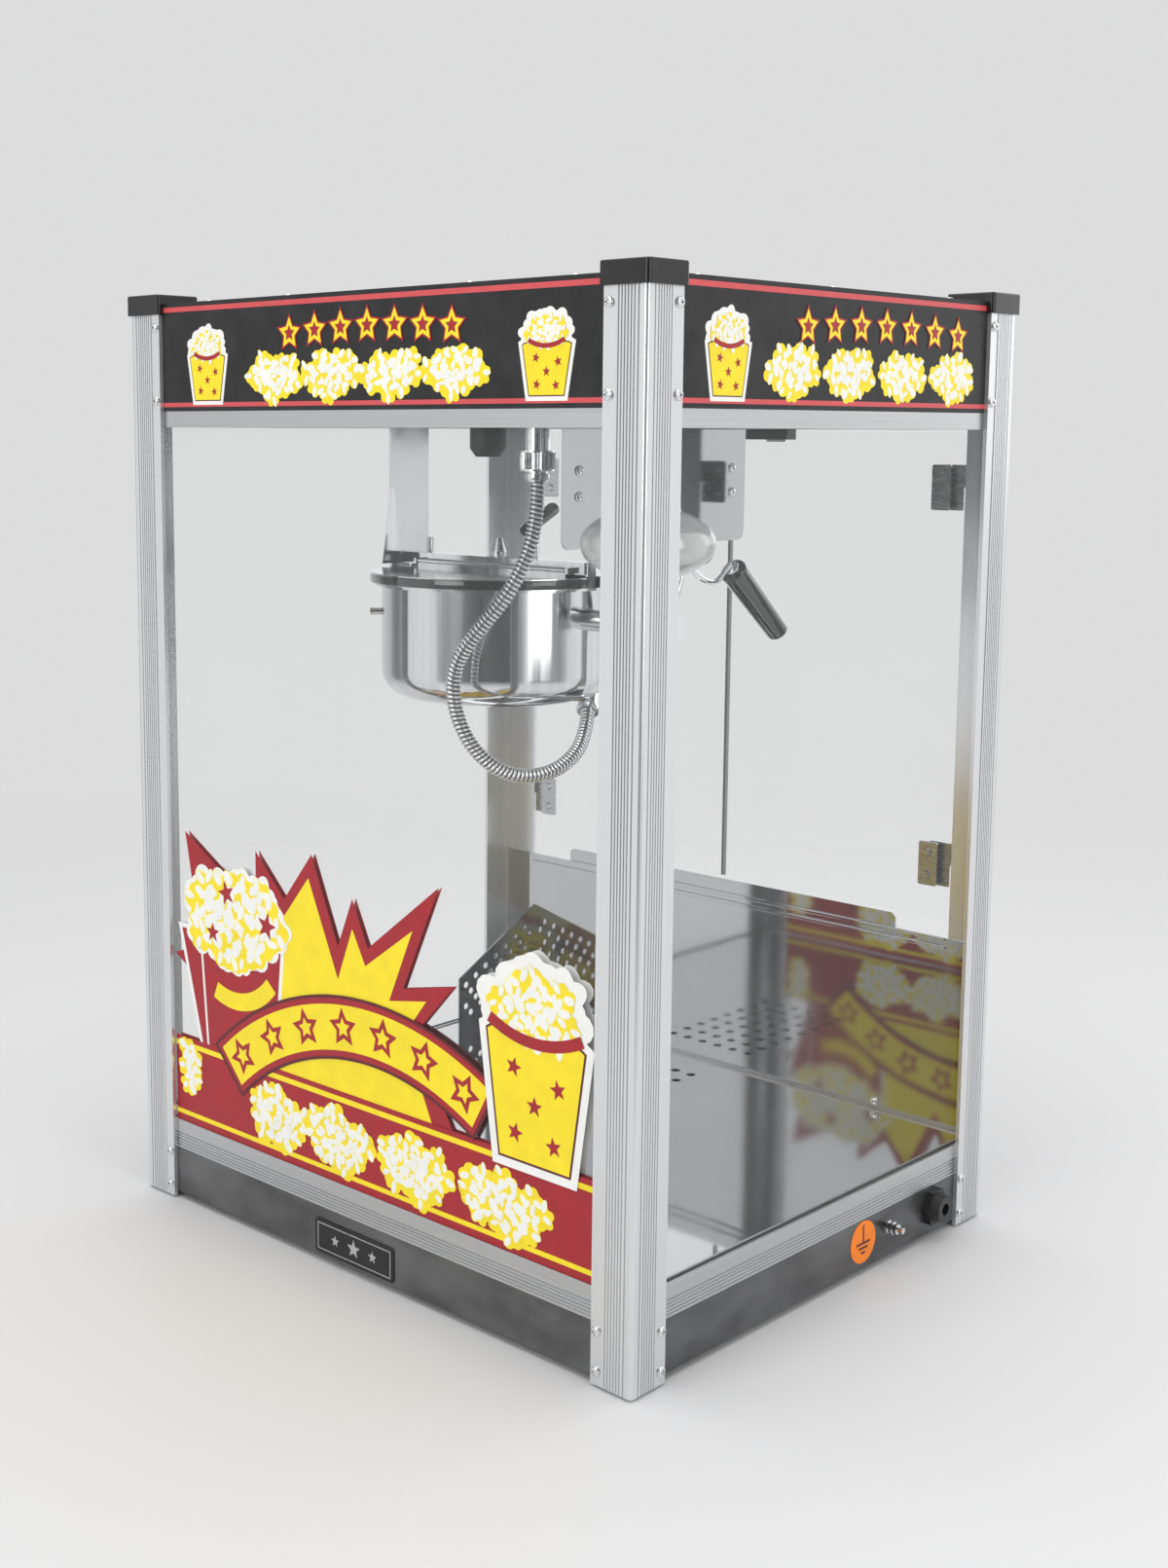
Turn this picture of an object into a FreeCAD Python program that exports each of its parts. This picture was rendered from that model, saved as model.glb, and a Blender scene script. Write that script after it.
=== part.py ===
import FreeCAD, Part
import math
import os

V = FreeCAD.Vector
X_AXIS = V(1, 0, 0)
Y_AXIS = V(0, 1, 0)
Z_AXIS = V(0, 0, 1)

# Frame: +X is the customer's right side, -Y the customer's front, +Y the operator's side, +Z up.
# The origin is the centre of the footprint, on the surface that the feet stand on. Millimetres.

# ---- driving dimensions ----
WIDTH = 560.0           # across the posts, X
DEPTH = 468.0           # across the posts, Y
POST_FOOT = 2.0         # the posts end just above the surface
POST_TOP = 764.0
CAP_TOP = 780.5
CAP_OVERHANG = 2.5
FLANGE = 38.0           # post flange, corner to edge
WALL = 4.0              # post flange thickness
RAIL_DEPTH = 8.0
RAIL_LOW = (47.0, 72.5)     # bottom rails, z
RAIL_HIGH = (672.0, 685.0)  # top rails, z
SKIRT_Z = (7.5, 47.0)
SHEET = 1.5             # folded steel sheet
SIGN_TOP = 773.0
SIGN_SHEET = 2.0
GLASS = 4.0
GLASS_INSET = 2.0       # from the rail's outer face to the glass
GLASS_BITE = 5.5        # how deep the glass sits in a rail
DECK_TOP = 71.5
REAR_PANEL_TOP = 239.0
REAR_SILL_TOP = 252.5
DOOR_Z = (254.5, 669.5)
DOOR_GAP = 1.0          # half of the gap between the doors
HINGE_AXIS = (242.5, 238.0)     # x, y of a door's pin
HINGE_RADIUS = 3.5
HINGE_PIN = 1.8
HINGE_HEIGHTS = (283.0, 605.0)  # bottom of each hinge
HINGE_LENGTH = 38.0
FIT = 0.06              # radial clearance of a running fit

KETTLE = (-63.0, -12.0)     # x, y of the kettle's own axis
KETTLE_R = 101.0
KETTLE_Z = (444.0, 542.0)
KETTLE_CORNER = 24.0
KETTLE_WALL = 1.2
PIVOT_Z = 516.0
PIVOT_R = 5.0
PAN_FLOOR = 492.0
PAN_R = 96.0
LID_Z = 550.0
LID_R = 110.0
LID_HINGE_Y = 11.0      # from the kettle's axis to each lid's hinge line
BRIDGE_X = (-178.0, 40.0)
BRIDGE_Z = (553.0, 563.0)
BRIDGE_HALF = 6.5
HANGER_LEFT_X = (-185.0, -182.0)
HANGER_RIGHT_X = (101.0, 103.0)
LAMP = (180.0, -108.0)

GEAR_MODULE = 1.0
STIRRER_TEETH = 48
PINION_TEETH = 16
GEAR_Z = (481.0, 487.0)
BACKLASH = 0.25
STIRRER_SHAFT_R = 4.0

DRAWER_X = 150.0        # half width
DRAWER_Y = (-140.0, 228.0)
DRAWER_Z = (12.0, 44.0)

CONDUIT_R = 6.2
# Flexible conduit from the ceiling fitting, round in front of the kettle, up into its underside.
CONDUIT_ROUTE = [
    (62.0, -100.0, 631.0),
    (62.0, -100.0, 604.0),
    (61.0, -110.0, 572.0),
    (50.0, -122.0, 541.0),
    (31.0, -132.0, 516.0),
    (9.0, -139.0, 486.0),
    (5.0, -135.0, 450.0),
    (15.0, -122.0, 415.0),
    (31.0, -97.0, 394.0),
    (43.0, -64.0, 393.0),
    (44.0, -33.0, 404.0),
    (35.0, -9.0, 420.0),
    (26.0, 4.0, 436.0),
]

FLUTE_START = 10.5      # from the post's corner to its first flute
FLUTE_PITCH = 2.7
FLUTE_WIDTH = 1.2
FLUTE_DEPTH = 0.9
POST_FLUTES = 6
RAIL_FLUTES = 5
SCREW_STRIP = 27.2      # from the post's corner to the strip that the screws sit in
SCREW_FACE = 0.6        # the screw strip lies this far below the post's outer face
SCREW_FROM_CORNER = 33.0
SCREW_HEIGHTS = (12.0, 42.0, 693.5, 753.5)

GLAND = (161.5, 29.0)       # y, z on the right skirt
GLAND_THREAD_R = 8.0
GLAND_BORE_R = 5.0
EARTH_STUD = (96.0, 30.0)   # y, z on the right skirt
STUD_R = 2.5
FOOT = (235.0, 190.0)       # x, y of a rubber foot
PLATE_BOTTOM = 6.0          # underside of the base plate, top of the feet

DECK_HOLES_X = [3.0 - 18.4 * i for i in range(6)]
DECK_HOLES_Y = [184.0 - 22.3 * i for i in range(8)]
DECK_HOLE_R = 4.3
GUARD_X = (-240.0, -238.5)
GUARD_OUTLINE = [
    (118.0, DECK_TOP),
    (222.0, DECK_TOP),
    (222.0, RAIL_LOW[1]),
    (228.5, RAIL_LOW[1]),
    (228.5, 186.0),
    (118.0, 128.0),
]
GUARD_HOLE_R = 3.2
GUARD_ROWS = 4
GUARD_COLUMNS = 7

BULB_R = 50.0
BULB_Z = (560.0, 588.0)     # lowest point, widest point
BULB_SIDE_R = 18.0          # radius of the bulb's rounded side
LAMP_NECK = (24.0, 17.0)    # radii at the bulb's shoulder and at its holder
HOLDER_BOTTOM = 645.0
THERMOSTAT = (-72.0, -16.0)

MOTOR_Z = (445.2, 479.0)
LID_HINGE_Z = BRIDGE_Z[0] + 3.0
STUD_X = -147.0
RETAINER_OUTLINE = [
    (-42.0, 553.0),
    (-5.5, 553.0),
    (-5.5, 560.0),
    (-20.0, 561.0),
    (-28.0, 620.0),
    (-31.0, 620.0),
]
HANDLE_TOP = (128.0, 60.0, 562.0)
HANDLE_END = (128.0, 128.0, 504.0)
HANDLE_WIRE_R = 2.4

SWITCH_NAMES = ("kettle", "stirrer", "lamp")
SWITCH_X = (-70.0, 0.0, 70.0)
SWITCH_Z = 730.0
HOUSING_X, HOUSING_Z = 11.0, 16.0
ROCKER_X, ROCKER_Z = 8.7, 13.0
ROCKER_TILT = 8.0
ROCKER_PIN_R = 1.5

HALF_X = WIDTH / 2
HALF_Y = DEPTH / 2
INNER_X = HALF_X - WALL     # outer face of everything that sits behind the flanges
INNER_Y = HALF_Y - WALL


# ---- small helpers ----
def box(x, y, z):
    return Part.makeBox(x[1] - x[0], y[1] - y[0], z[1] - z[0], V(x[0], y[0], z[0]))


def rod(radius, start, end):
    a = V(*start)
    direction = V(*end) - a
    return Part.makeCylinder(radius, direction.Length, a, direction)


def joined(*shapes):
    result = shapes[0]
    for shape in shapes[1:]:
        result = result.fuse(shape)
    return result.removeSplitter()


def plate(points, start, thickness, axis):
    """A flat plate: its outline in the two axes other than the named one, from start along that axis."""
    spread = {
        "x": lambda a, b: V(start, a, b),
        "y": lambda a, b: V(a, start, b),
        "z": lambda a, b: V(a, b, start),
    }
    push = {"x": V(thickness, 0, 0), "y": V(0, thickness, 0), "z": V(0, 0, thickness)}
    corners = [spread[axis](a, b) for a, b in points]
    return Part.Face(Part.makePolygon(corners + corners[:1])).extrude(push[axis])


def revolved(edges, x, y):
    """A solid of revolution about the vertical axis through x, y, from edges in the XZ plane."""
    solid = Part.Face(Part.Wire(edges)).revolve(V(0, 0, 0), Z_AXIS, 360)
    solid.translate(V(x, y, 0))
    return solid


def outline(points):
    """Straight edges through (radius, z) points, closed."""
    corners = [V(r, 0, z) for r, z in points]
    return Part.makePolygon(corners + corners[:1]).Edges


def rounded(shape, radius, wanted):
    edges = [e for e in shape.Edges if wanted(e)]
    return shape.makeFillet(radius, edges)


def is_upright(edge):
    a, b = edge.Vertexes[0].Point, edge.Vertexes[-1].Point
    return abs(a.x - b.x) < 1e-6 and abs(a.y - b.y) < 1e-6


def mirrored_x(shape):
    return shape.mirror(V(0, 0, 0), X_AXIS)


def mirrored_y(shape):
    return shape.mirror(V(0, 0, 0), Y_AXIS)


def save(name, *shapes):
    shape = shapes[0] if len(shapes) == 1 else Part.makeCompound(list(shapes))
    shape.exportStep("parts/" + name + ".step")


# ---- frame ----


def flange_face():
    """The outer face of one post flange, as (distance from the corner, depth) points."""
    points = [(7.0, 0.0), (7.0, 1.0), (8.2, 1.0), (8.2, 0.0)]
    for i in range(POST_FLUTES):
        start = FLUTE_START + i * FLUTE_PITCH
        end = start + FLUTE_WIDTH
        points += [(start, 0.0), (start, FLUTE_DEPTH), (end, FLUTE_DEPTH), (end, 0.0)]
    return points + [(SCREW_STRIP, 0.0), (SCREW_STRIP, SCREW_FACE), (FLANGE, SCREW_FACE)]


def make_posts():
    face = flange_face()
    along_x = [(-HALF_X + u, -HALF_Y + v) for u, v in reversed(face)]
    along_y = [(-HALF_X + v, -HALF_Y + u) for u, v in face]
    inside = [
        (-INNER_X, -HALF_Y + FLANGE),
        (-INNER_X, -INNER_Y),
        (-HALF_X + FLANGE, -INNER_Y),
    ]
    section = along_x + [(-HALF_X, -HALF_Y)] + along_y + inside
    post = plate(section, POST_FOOT, POST_TOP - POST_FOOT, "z")
    corner = V(-HALF_X, -HALF_Y, (POST_FOOT + POST_TOP) / 2)
    post = rounded(post, 3.0, lambda e: is_upright(e) and (e.CenterOfMass - corner).Length < 0.1)
    rear = mirrored_y(post)
    save("frame_posts", post, mirrored_x(post), rear, mirrored_x(rear))


def make_caps():
    low_x, low_y = -HALF_X - CAP_OVERHANG, -HALF_Y - CAP_OVERHANG
    side = FLANGE + 2 * CAP_OVERHANG
    cap = box((low_x, low_x + side), (low_y, low_y + side), (POST_TOP, CAP_TOP))
    cap = rounded(cap, 3.0, is_upright)
    top = [e for e in cap.Edges if min(v.Z for v in e.Vertexes) > CAP_TOP - 0.01]
    cap = cap.makeFillet(1.5, top)
    inside = box((-INNER_X, 0), (-INNER_Y, 0), (POST_TOP - 1, SIGN_TOP))
    cap = cap.cut(inside)
    rear = mirrored_y(cap)
    save("corner_caps", cap, mirrored_x(cap), rear, mirrored_x(rear))


def rail_section(z, fluted, glass_edge):
    """A rail's section as (depth from the outer face, z), with a glass groove on one edge, or none."""
    points = [(0.0, z[1]), (0.0, z[0])]
    if fluted:
        points = [(0.0, z[1])]
        for i in range(RAIL_FLUTES):
            top = z[0] + 14.0 - i * FLUTE_PITCH
            foot = top - FLUTE_WIDTH
            points += [(0.0, top), (FLUTE_DEPTH, top), (FLUTE_DEPTH, foot), (0.0, foot)]
        points += [(0.0, z[0])]
    near, far = GLASS_INSET, GLASS_INSET + GLASS
    if glass_edge == "top":
        groove = [(far, z[1]), (far, z[1] - GLASS_BITE), (near, z[1] - GLASS_BITE), (near, z[1])]
        points += [(RAIL_DEPTH, z[0]), (RAIL_DEPTH, z[1])] + groove
    elif glass_edge == "bottom":
        groove = [(near, z[0]), (near, z[0] + GLASS_BITE), (far, z[0] + GLASS_BITE), (far, z[0])]
        points += groove + [(RAIL_DEPTH, z[0]), (RAIL_DEPTH, z[1])]
    else:
        points += [(RAIL_DEPTH, z[0]), (RAIL_DEPTH, z[1])]
    return points


def front_rail(z, fluted, glass_edge):
    section = [(-INNER_Y + depth, height) for depth, height in rail_section(z, fluted, glass_edge)]
    return plate(section, -INNER_X, 2 * INNER_X, "x")


def side_rail(z, fluted, glass_edge):
    reach = INNER_Y - RAIL_DEPTH
    section = [(-INNER_X + depth, height) for depth, height in rail_section(z, fluted, glass_edge)]
    return plate(section, -reach, 2 * reach, "y")


def make_rails():
    for name, z, fluted, glass_edge in (
        ("bottom_rail", RAIL_LOW, True, "top"),
        ("top_rail", RAIL_HIGH, False, "bottom"),
    ):
        side = side_rail(z, fluted, glass_edge)
        save(name + "_front", front_rail(z, fluted, glass_edge))
        save(name + "_rear", mirrored_y(front_rail(z, fluted, None)))
        save(name + "s_side", side, mirrored_x(side))


def make_base():
    inside_x, inside_y = INNER_X - SHEET, INNER_Y - SHEET
    save("base_plate", box((-INNER_X, INNER_X), (-INNER_Y, INNER_Y), (PLATE_BOTTOM, SKIRT_Z[0])))
    feet = []
    for x in (-FOOT[0], FOOT[0]):
        for y in (-FOOT[1], FOOT[1]):
            feet.append(Part.makeCone(13.0, 15.0, PLATE_BOTTOM, V(x, y, 0)))
    save("rubber_feet", *feet)
    save("skirt_front", box((-INNER_X, INNER_X), (-INNER_Y, -inside_y), SKIRT_Z))
    left = box((-INNER_X, -inside_x), (-inside_y, inside_y), SKIRT_Z)
    right = box((inside_x, INNER_X), (-inside_y, inside_y), SKIRT_Z)
    right = right.cut(rod(GLAND_THREAD_R, (260, GLAND[0], GLAND[1]), (290, GLAND[0], GLAND[1])))
    right = right.cut(rod(STUD_R, (260, EARTH_STUD[0], EARTH_STUD[1]), (290, EARTH_STUD[0], EARTH_STUD[1])))
    save("skirt_left", left)
    save("skirt_right", right)
    rear = box((DRAWER_X + 6, INNER_X), (inside_y, INNER_Y), SKIRT_Z)
    save("skirt_rear", rear, mirrored_x(rear))


def make_header():
    signs_y = (-INNER_Y, -INNER_Y + SIGN_SHEET)
    inner_x, inner_y = INNER_X - SIGN_SHEET, INNER_Y - SIGN_SHEET
    z = (RAIL_HIGH[1], SIGN_TOP)
    save("sign_front", box((-INNER_X, INNER_X), signs_y, z))
    side = box((inner_x, INNER_X), (-inner_y, inner_y), z)
    save("side_signs", side, mirrored_x(side))
    panel = box((-INNER_X, INNER_X), (inner_y, INNER_Y), z)
    cutout_z = (SWITCH_Z - HOUSING_Z, SWITCH_Z + HOUSING_Z)
    for x in SWITCH_X:
        panel = panel.cut(box((x - HOUSING_X, x + HOUSING_X), (200, 250), cutout_z))
    save("control_panel", panel)
    save("top_cover", box((-inner_x, inner_x), (-inner_y, inner_y), (SIGN_TOP - SHEET, SIGN_TOP)))
    save("ceiling_plate", box((-inner_x, inner_x), (-inner_y, inner_y), (z[0], z[0] + SHEET)))


def make_glazing():
    z = (RAIL_LOW[1] - GLASS_BITE, RAIL_HIGH[0] + GLASS_BITE)
    outer_y = INNER_Y - GLASS_INSET
    outer_x = INNER_X - GLASS_INSET
    front = box((-outer_x + GLASS, outer_x - GLASS), (-outer_y, -outer_y + GLASS), z)
    side = box((outer_x - GLASS, outer_x), (-INNER_Y + RAIL_DEPTH, INNER_Y - RAIL_DEPTH), z)
    save("glass_front", front)
    save("side_glasses", side, mirrored_x(side))


# ---- inside the cabinet ----
def make_deck():
    reach_x, reach_y = INNER_X - RAIL_DEPTH, INNER_Y - RAIL_DEPTH
    deck = box((-reach_x, reach_x), (-reach_y, reach_y), (DECK_TOP - SHEET, DECK_TOP))
    holes = []
    for x in DECK_HOLES_X:
        for y in DECK_HOLES_Y:
            holes.append(rod(DECK_HOLE_R, (x, y, DECK_TOP - 5), (x, y, DECK_TOP + 5)))
    save("deck", deck.cut(Part.makeCompound(holes)))
    thickness = GUARD_X[1] - GUARD_X[0]
    guard = plate(GUARD_OUTLINE, GUARD_X[0], thickness, "x")
    (low_y, low_z), (high_y, high_z) = GUARD_OUTLINE[-1], GUARD_OUTLINE[-2]
    slope = (high_z - low_z) / (high_y - low_y)
    holes = []
    for row in range(GUARD_ROWS):
        for i in range(GUARD_COLUMNS):
            y = 128.0 + 14.0 * i + 7.0 * (row % 2)
            z = low_z + slope * (y - low_y) - 13.0 - 11.0 * row
            holes.append(rod(GUARD_HOLE_R, (GUARD_X[0] - 5, y, z), (GUARD_X[1] + 5, y, z)))
    save("corner_guard", guard.cut(Part.makeCompound(holes)))


def make_rear_panel():
    y = (INNER_Y - SHEET, INNER_Y)
    panel = box((-INNER_X, INNER_X), y, (RAIL_LOW[1], REAR_PANEL_TOP))
    sill = box((-190, 190), y, (REAR_PANEL_TOP - 5, REAR_SILL_TOP))

    def is_top_corner(edge):
        return abs(edge.Length - SHEET) < 1e-6 and edge.CenterOfMass.z > REAR_SILL_TOP - 1

    sill = rounded(sill, 5.0, is_top_corner)
    save("rear_panel", joined(panel, sill))


def bracket(x, y, z, foot):
    """A hanger strip in the YZ plane with a flange against the ceiling, reaching to foot."""
    strip = box(x, y, z)
    flange = box((min(x[0], foot), max(x[1], foot)), y, (z[1] - 2.0, z[1]))
    return joined(strip, flange)


def make_hangers():
    ceiling = RAIL_HIGH[1]
    hole = rod(PIVOT_R + FIT, (-200, KETTLE[1], PIVOT_Z), (200, KETTLE[1], PIVOT_Z))
    left = bracket(HANGER_LEFT_X, (-26.0, 20.0), (502.0, ceiling), -212.0)
    save("hanger_left", left.cut(hole))
    wide = bracket(HANGER_RIGHT_X, (-116.0, 112.0), (580.0, ceiling), 121.0)
    wide = rounded(wide, 8.0, lambda e: abs(e.Length - 2.0) < 1e-6 and e.CenterOfMass.z < 581)
    tongue = box(HANGER_RIGHT_X, (-27.0, 3.0), (502.0, 590.0))
    save("hanger_right", joined(wide, tongue).cut(hole))


def make_lamp():
    """A flattened reflector bulb: two shallow arcs that meet its rounded side, and a tapered neck."""
    x, y = LAMP
    bottom, middle = BULB_Z
    side_x = BULB_R - BULB_SIDE_R
    drop = middle - bottom
    # The shallow arc's centre is on the axis, and it touches the side arc from within.
    dome_r = (side_x ** 2 + drop ** 2 - BULB_SIDE_R ** 2) / (2 * (drop - BULB_SIDE_R))
    lean = math.asin(side_x / (dome_r - BULB_SIDE_R))
    centre_z = bottom + dome_r

    def on_dome(angle, side):
        rise = dome_r * math.cos(angle) - centre_z + middle
        return V(dome_r * math.sin(angle), 0, middle + side * rise)

    shoulder = math.asin(LAMP_NECK[0] / dome_r)
    neck_top = V(LAMP_NECK[1], 0, HOLDER_BOTTOM)
    edges = [
        Part.Arc(V(0, 0, bottom), on_dome(lean / 2, -1), on_dome(lean, -1)).toShape(),
        Part.Arc(on_dome(lean, -1), V(BULB_R, 0, middle), on_dome(lean, 1)).toShape(),
        Part.Arc(on_dome(lean, 1), on_dome((lean + shoulder) / 2, 1), on_dome(shoulder, 1)).toShape(),
    ]
    axis_top = V(0, 0, HOLDER_BOTTOM)
    edges += Part.makePolygon([on_dome(shoulder, 1), neck_top, axis_top, V(0, 0, bottom)]).Edges
    save("lamp_bulb", revolved(edges, x, y))
    body = Part.makeCylinder(19.0, RAIL_HIGH[1] - HOLDER_BOTTOM, V(x, y, HOLDER_BOTTOM))
    rim = Part.makeCylinder(23.0, 4.0, V(x, y, RAIL_HIGH[1] - 4.0))
    save("lamp_holder", joined(body, rim))


def make_ceiling_pieces():
    x, y, z = CONDUIT_ROUTE[0]
    tube = Part.makeCylinder(9.5, 30.0, V(x, y, RAIL_HIGH[1] - 30.0))
    nut = Part.makeCylinder(13.0, 16.0, V(x, y, RAIL_HIGH[1] - 46.0))
    tail = Part.makeCylinder(8.0, RAIL_HIGH[1] - 46.0 - z, V(x, y, z))
    save("conduit_fitting", joined(tube, nut, tail))
    top = RAIL_HIGH[1]
    thermostat = revolved(outline([(0, top), (0, 648), (11, 648), (16, 655), (16, top)]), *THERMOSTAT)
    save("ceiling_thermostat", thermostat)
    catch = box((22, 72), (214, 228), (663, RAIL_HIGH[0]))
    save("door_catches", catch, mirrored_x(catch))


def cord_path(points):
    """Straight runs joined by tangent arcs, each as large as its two runs allow."""
    knots = [V(*p) for p in points]
    edges, radii = [], []
    last = knots[0]
    for before, corner, after in zip(knots, knots[1:], knots[2:]):
        a, b = corner - before, after - corner
        reach = 0.45 * min(a.Length, b.Length)
        turn = a.getAngle(b)
        radii.append(reach / math.tan(turn / 2))
        a.normalize()
        b.normalize()
        start, end = corner - a * reach, corner + b * reach
        inward = b - a
        inward.normalize()
        centre_distance = radii[-1] / math.cos(turn / 2)
        middle = corner + inward * (centre_distance - radii[-1])
        edges.append(Part.LineSegment(last, start).toShape())
        edges.append(Part.Arc(start, middle, end).toShape())
        last = end
    edges.append(Part.LineSegment(last, knots[-1]).toShape())
    return Part.Wire(edges), radii


def make_conduit():
    path, radii = cord_path(CONDUIT_ROUTE)
    start = V(*CONDUIT_ROUTE[0])
    direction = V(*CONDUIT_ROUTE[1]) - start
    ring = Part.Wire(Part.makeCircle(CONDUIT_R, start, direction))
    tube = path.makePipeShell([ring], True, False)
    print("conduit length %.1f mm" % path.Length)
    print("conduit bend radii, mm: " + ", ".join("%.0f" % r for r in radii))
    expected = path.Length * math.pi * CONDUIT_R ** 2
    print("conduit volume %.0f, section times length %.0f" % (tube.Volume, expected))
    save("conduit", tube)


# ---- kettle ----
def shell_outline(radius, z, corner, wall):
    """Section of an open round pot with a rounded bottom corner."""
    k = math.sqrt(0.5)
    outer = V(radius - corner * (1 - k), 0, z[0] + corner * (1 - k))
    inner_corner = corner - wall
    inner = V(radius - wall - inner_corner * (1 - k), 0, z[0] + wall + inner_corner * (1 - k))
    lip = 5.0
    edges = [
        Part.LineSegment(V(0, 0, z[0]), V(radius - corner, 0, z[0])).toShape(),
        Part.Arc(V(radius - corner, 0, z[0]), outer, V(radius, 0, z[0] + corner)).toShape(),
    ]
    edges += Part.makePolygon(
        [
            V(radius, 0, z[0] + corner),
            V(radius, 0, z[1] - 2.0),
            V(radius + lip, 0, z[1] - 2.0),
            V(radius + lip, 0, z[1]),
            V(radius - wall, 0, z[1]),
            V(radius - wall, 0, z[0] + corner),
        ]
    ).Edges
    edges.append(
        Part.Arc(V(radius - wall, 0, z[0] + corner), inner, V(radius - corner, 0, z[0] + wall)).toShape()
    )
    floor = z[0] + wall
    edges += Part.makePolygon([V(radius - corner, 0, floor), V(0, 0, floor), V(0, 0, z[0])]).Edges
    return edges


def make_kettle():
    x, y = KETTLE
    shell = revolved(shell_outline(KETTLE_R, KETTLE_Z, KETTLE_CORNER, KETTLE_WALL), x, y)
    side_pin = rod(3.2, (x - 70.0, y - 70.0, PIVOT_Z), (x - 78.0, y - 78.0, PIVOT_Z))
    left_pin = rod(PIVOT_R, (x - KETTLE_R + 1.0, y, PIVOT_Z), (-188.0, y, PIVOT_Z))
    right_pin = rod(PIVOT_R, (x + KETTLE_R - 1.0, y, PIVOT_Z), (132.0, y, PIVOT_Z))
    boss_left = rod(9.0, (x - KETTLE_R + 1.0, y, PIVOT_Z), (-176.0, y, PIVOT_Z))
    boss_right = rod(9.0, (x + KETTLE_R - 1.0, y, PIVOT_Z), (60.0, y, PIVOT_Z))
    hollow = Part.makeCylinder(KETTLE_R - 0.5, 60.0, V(x, y, 475))
    end, before = V(*CONDUIT_ROUTE[-1]), V(*CONDUIT_ROUTE[-2])
    direction = end - before
    direction.normalize()
    gland = Part.makeCylinder(9.0, 20.0, end, direction)
    outside = [pin.cut(hollow) for pin in (side_pin, left_pin, right_pin, boss_left, boss_right)]
    shell = joined(shell, gland, *outside)
    save("kettle_shell", shell)

    bore = STIRRER_SHAFT_R + FIT
    pan = outline(
        [
            (bore, PAN_FLOOR),
            (PAN_R, PAN_FLOOR),
            (PAN_R, KETTLE_Z[1]),
            (PAN_R - 1.5, KETTLE_Z[1]),
            (PAN_R - 1.5, PAN_FLOOR + 1.5),
            (bore, PAN_FLOOR + 1.5),
        ]
    )
    collar = outline(
        [
            (PAN_R, KETTLE_Z[1] - 1.5),
            (KETTLE_R - KETTLE_WALL, KETTLE_Z[1] - 1.5),
            (KETTLE_R - KETTLE_WALL, KETTLE_Z[1]),
            (PAN_R, KETTLE_Z[1]),
        ]
    )
    save("kettle_pan", joined(revolved(pan, x, y), revolved(collar, x, y)))
    heater = outline([(40.0, PAN_FLOOR - 4), (82.0, PAN_FLOOR - 4), (82.0, PAN_FLOOR), (40.0, PAN_FLOOR)])
    save("heater_ring", revolved(heater, x, y))


def gear(teeth, centre, turn):
    """A spur gear: involute flanks, short addendum, thinned by the backlash."""
    pitch_r = GEAR_MODULE * teeth / 2
    base_r = pitch_r * math.cos(math.radians(20))
    tip_r = pitch_r + 0.8 * GEAR_MODULE
    root_r = pitch_r - 1.15 * GEAR_MODULE
    half_tooth = math.pi / (2 * teeth) - BACKLASH / (2 * pitch_r)

    def involute(r):
        a = math.acos(min(1.0, base_r / r))
        return math.tan(a) - a

    def half_at(r):
        return half_tooth + involute(pitch_r) - involute(max(r, base_r))

    foot_r = max(base_r, root_r)
    radii = [root_r] + [foot_r + (tip_r - foot_r) * i / 4 for i in range(5)]
    points = []
    for tooth in range(teeth):
        middle = turn + 2 * math.pi * tooth / teeth
        left = [(r, middle - half_at(r)) for r in radii]
        right = [(r, middle + half_at(r)) for r in reversed(radii)]
        points += [(centre[0] + r * math.cos(a), centre[1] + r * math.sin(a)) for r, a in left + right]
    return plate(points, GEAR_Z[0], GEAR_Z[1] - GEAR_Z[0], "z")


def make_drive():
    x, y = KETTLE
    spread = GEAR_MODULE * (STIRRER_TEETH + PINION_TEETH) / 2 + 0.1
    motor_x = x - spread
    motor = box((motor_x - 24.0, x + 16.0), (y - 24.0, y + 24.0), MOTOR_Z)
    motor = rounded(motor, 5.0, is_upright)
    motor = motor.cut(Part.makeCylinder(STIRRER_SHAFT_R + FIT, 60.0, V(x, y, MOTOR_Z[0] + 4.0)))
    motor = motor.cut(Part.makeCylinder(2.5 + FIT, 60.0, V(motor_x, y, MOTOR_Z[0] + 4.0)))
    save("gear_motor", motor)

    driven = gear(STIRRER_TEETH, (x, y), 0.0)
    shaft_z = (MOTOR_Z[0] + 5.0, BRIDGE_Z[1] + 2.0)
    shaft = Part.makeCylinder(STIRRER_SHAFT_R, shaft_z[1] - shaft_z[0], V(x, y, shaft_z[0]))
    hub = Part.makeCylinder(11.0, 12.0, V(x, y, PAN_FLOOR + 2.0))
    blade = box((x - 88.0, x + 88.0), (y - 1.5, y + 1.5), (PAN_FLOOR + 2.0, PAN_FLOOR + 12.0))
    nut = Part.makeCylinder(6.5, 4.0, V(x, y, BRIDGE_Z[1] + 0.5))
    tip = Part.makeCone(6.5, 3.0, 12.0, V(x, y, BRIDGE_Z[1] + 4.5))
    save("stirrer", joined(driven, shaft, hub, blade, nut, tip))

    mesh_turn = math.pi / PINION_TEETH
    pinion = gear(PINION_TEETH, (motor_x, y), mesh_turn)
    spindle = Part.makeCylinder(2.5, GEAR_Z[1] - MOTOR_Z[0] - 5.0, V(motor_x, y, MOTOR_Z[0] + 5.0))
    save("motor_pinion", joined(pinion, spindle))


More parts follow.
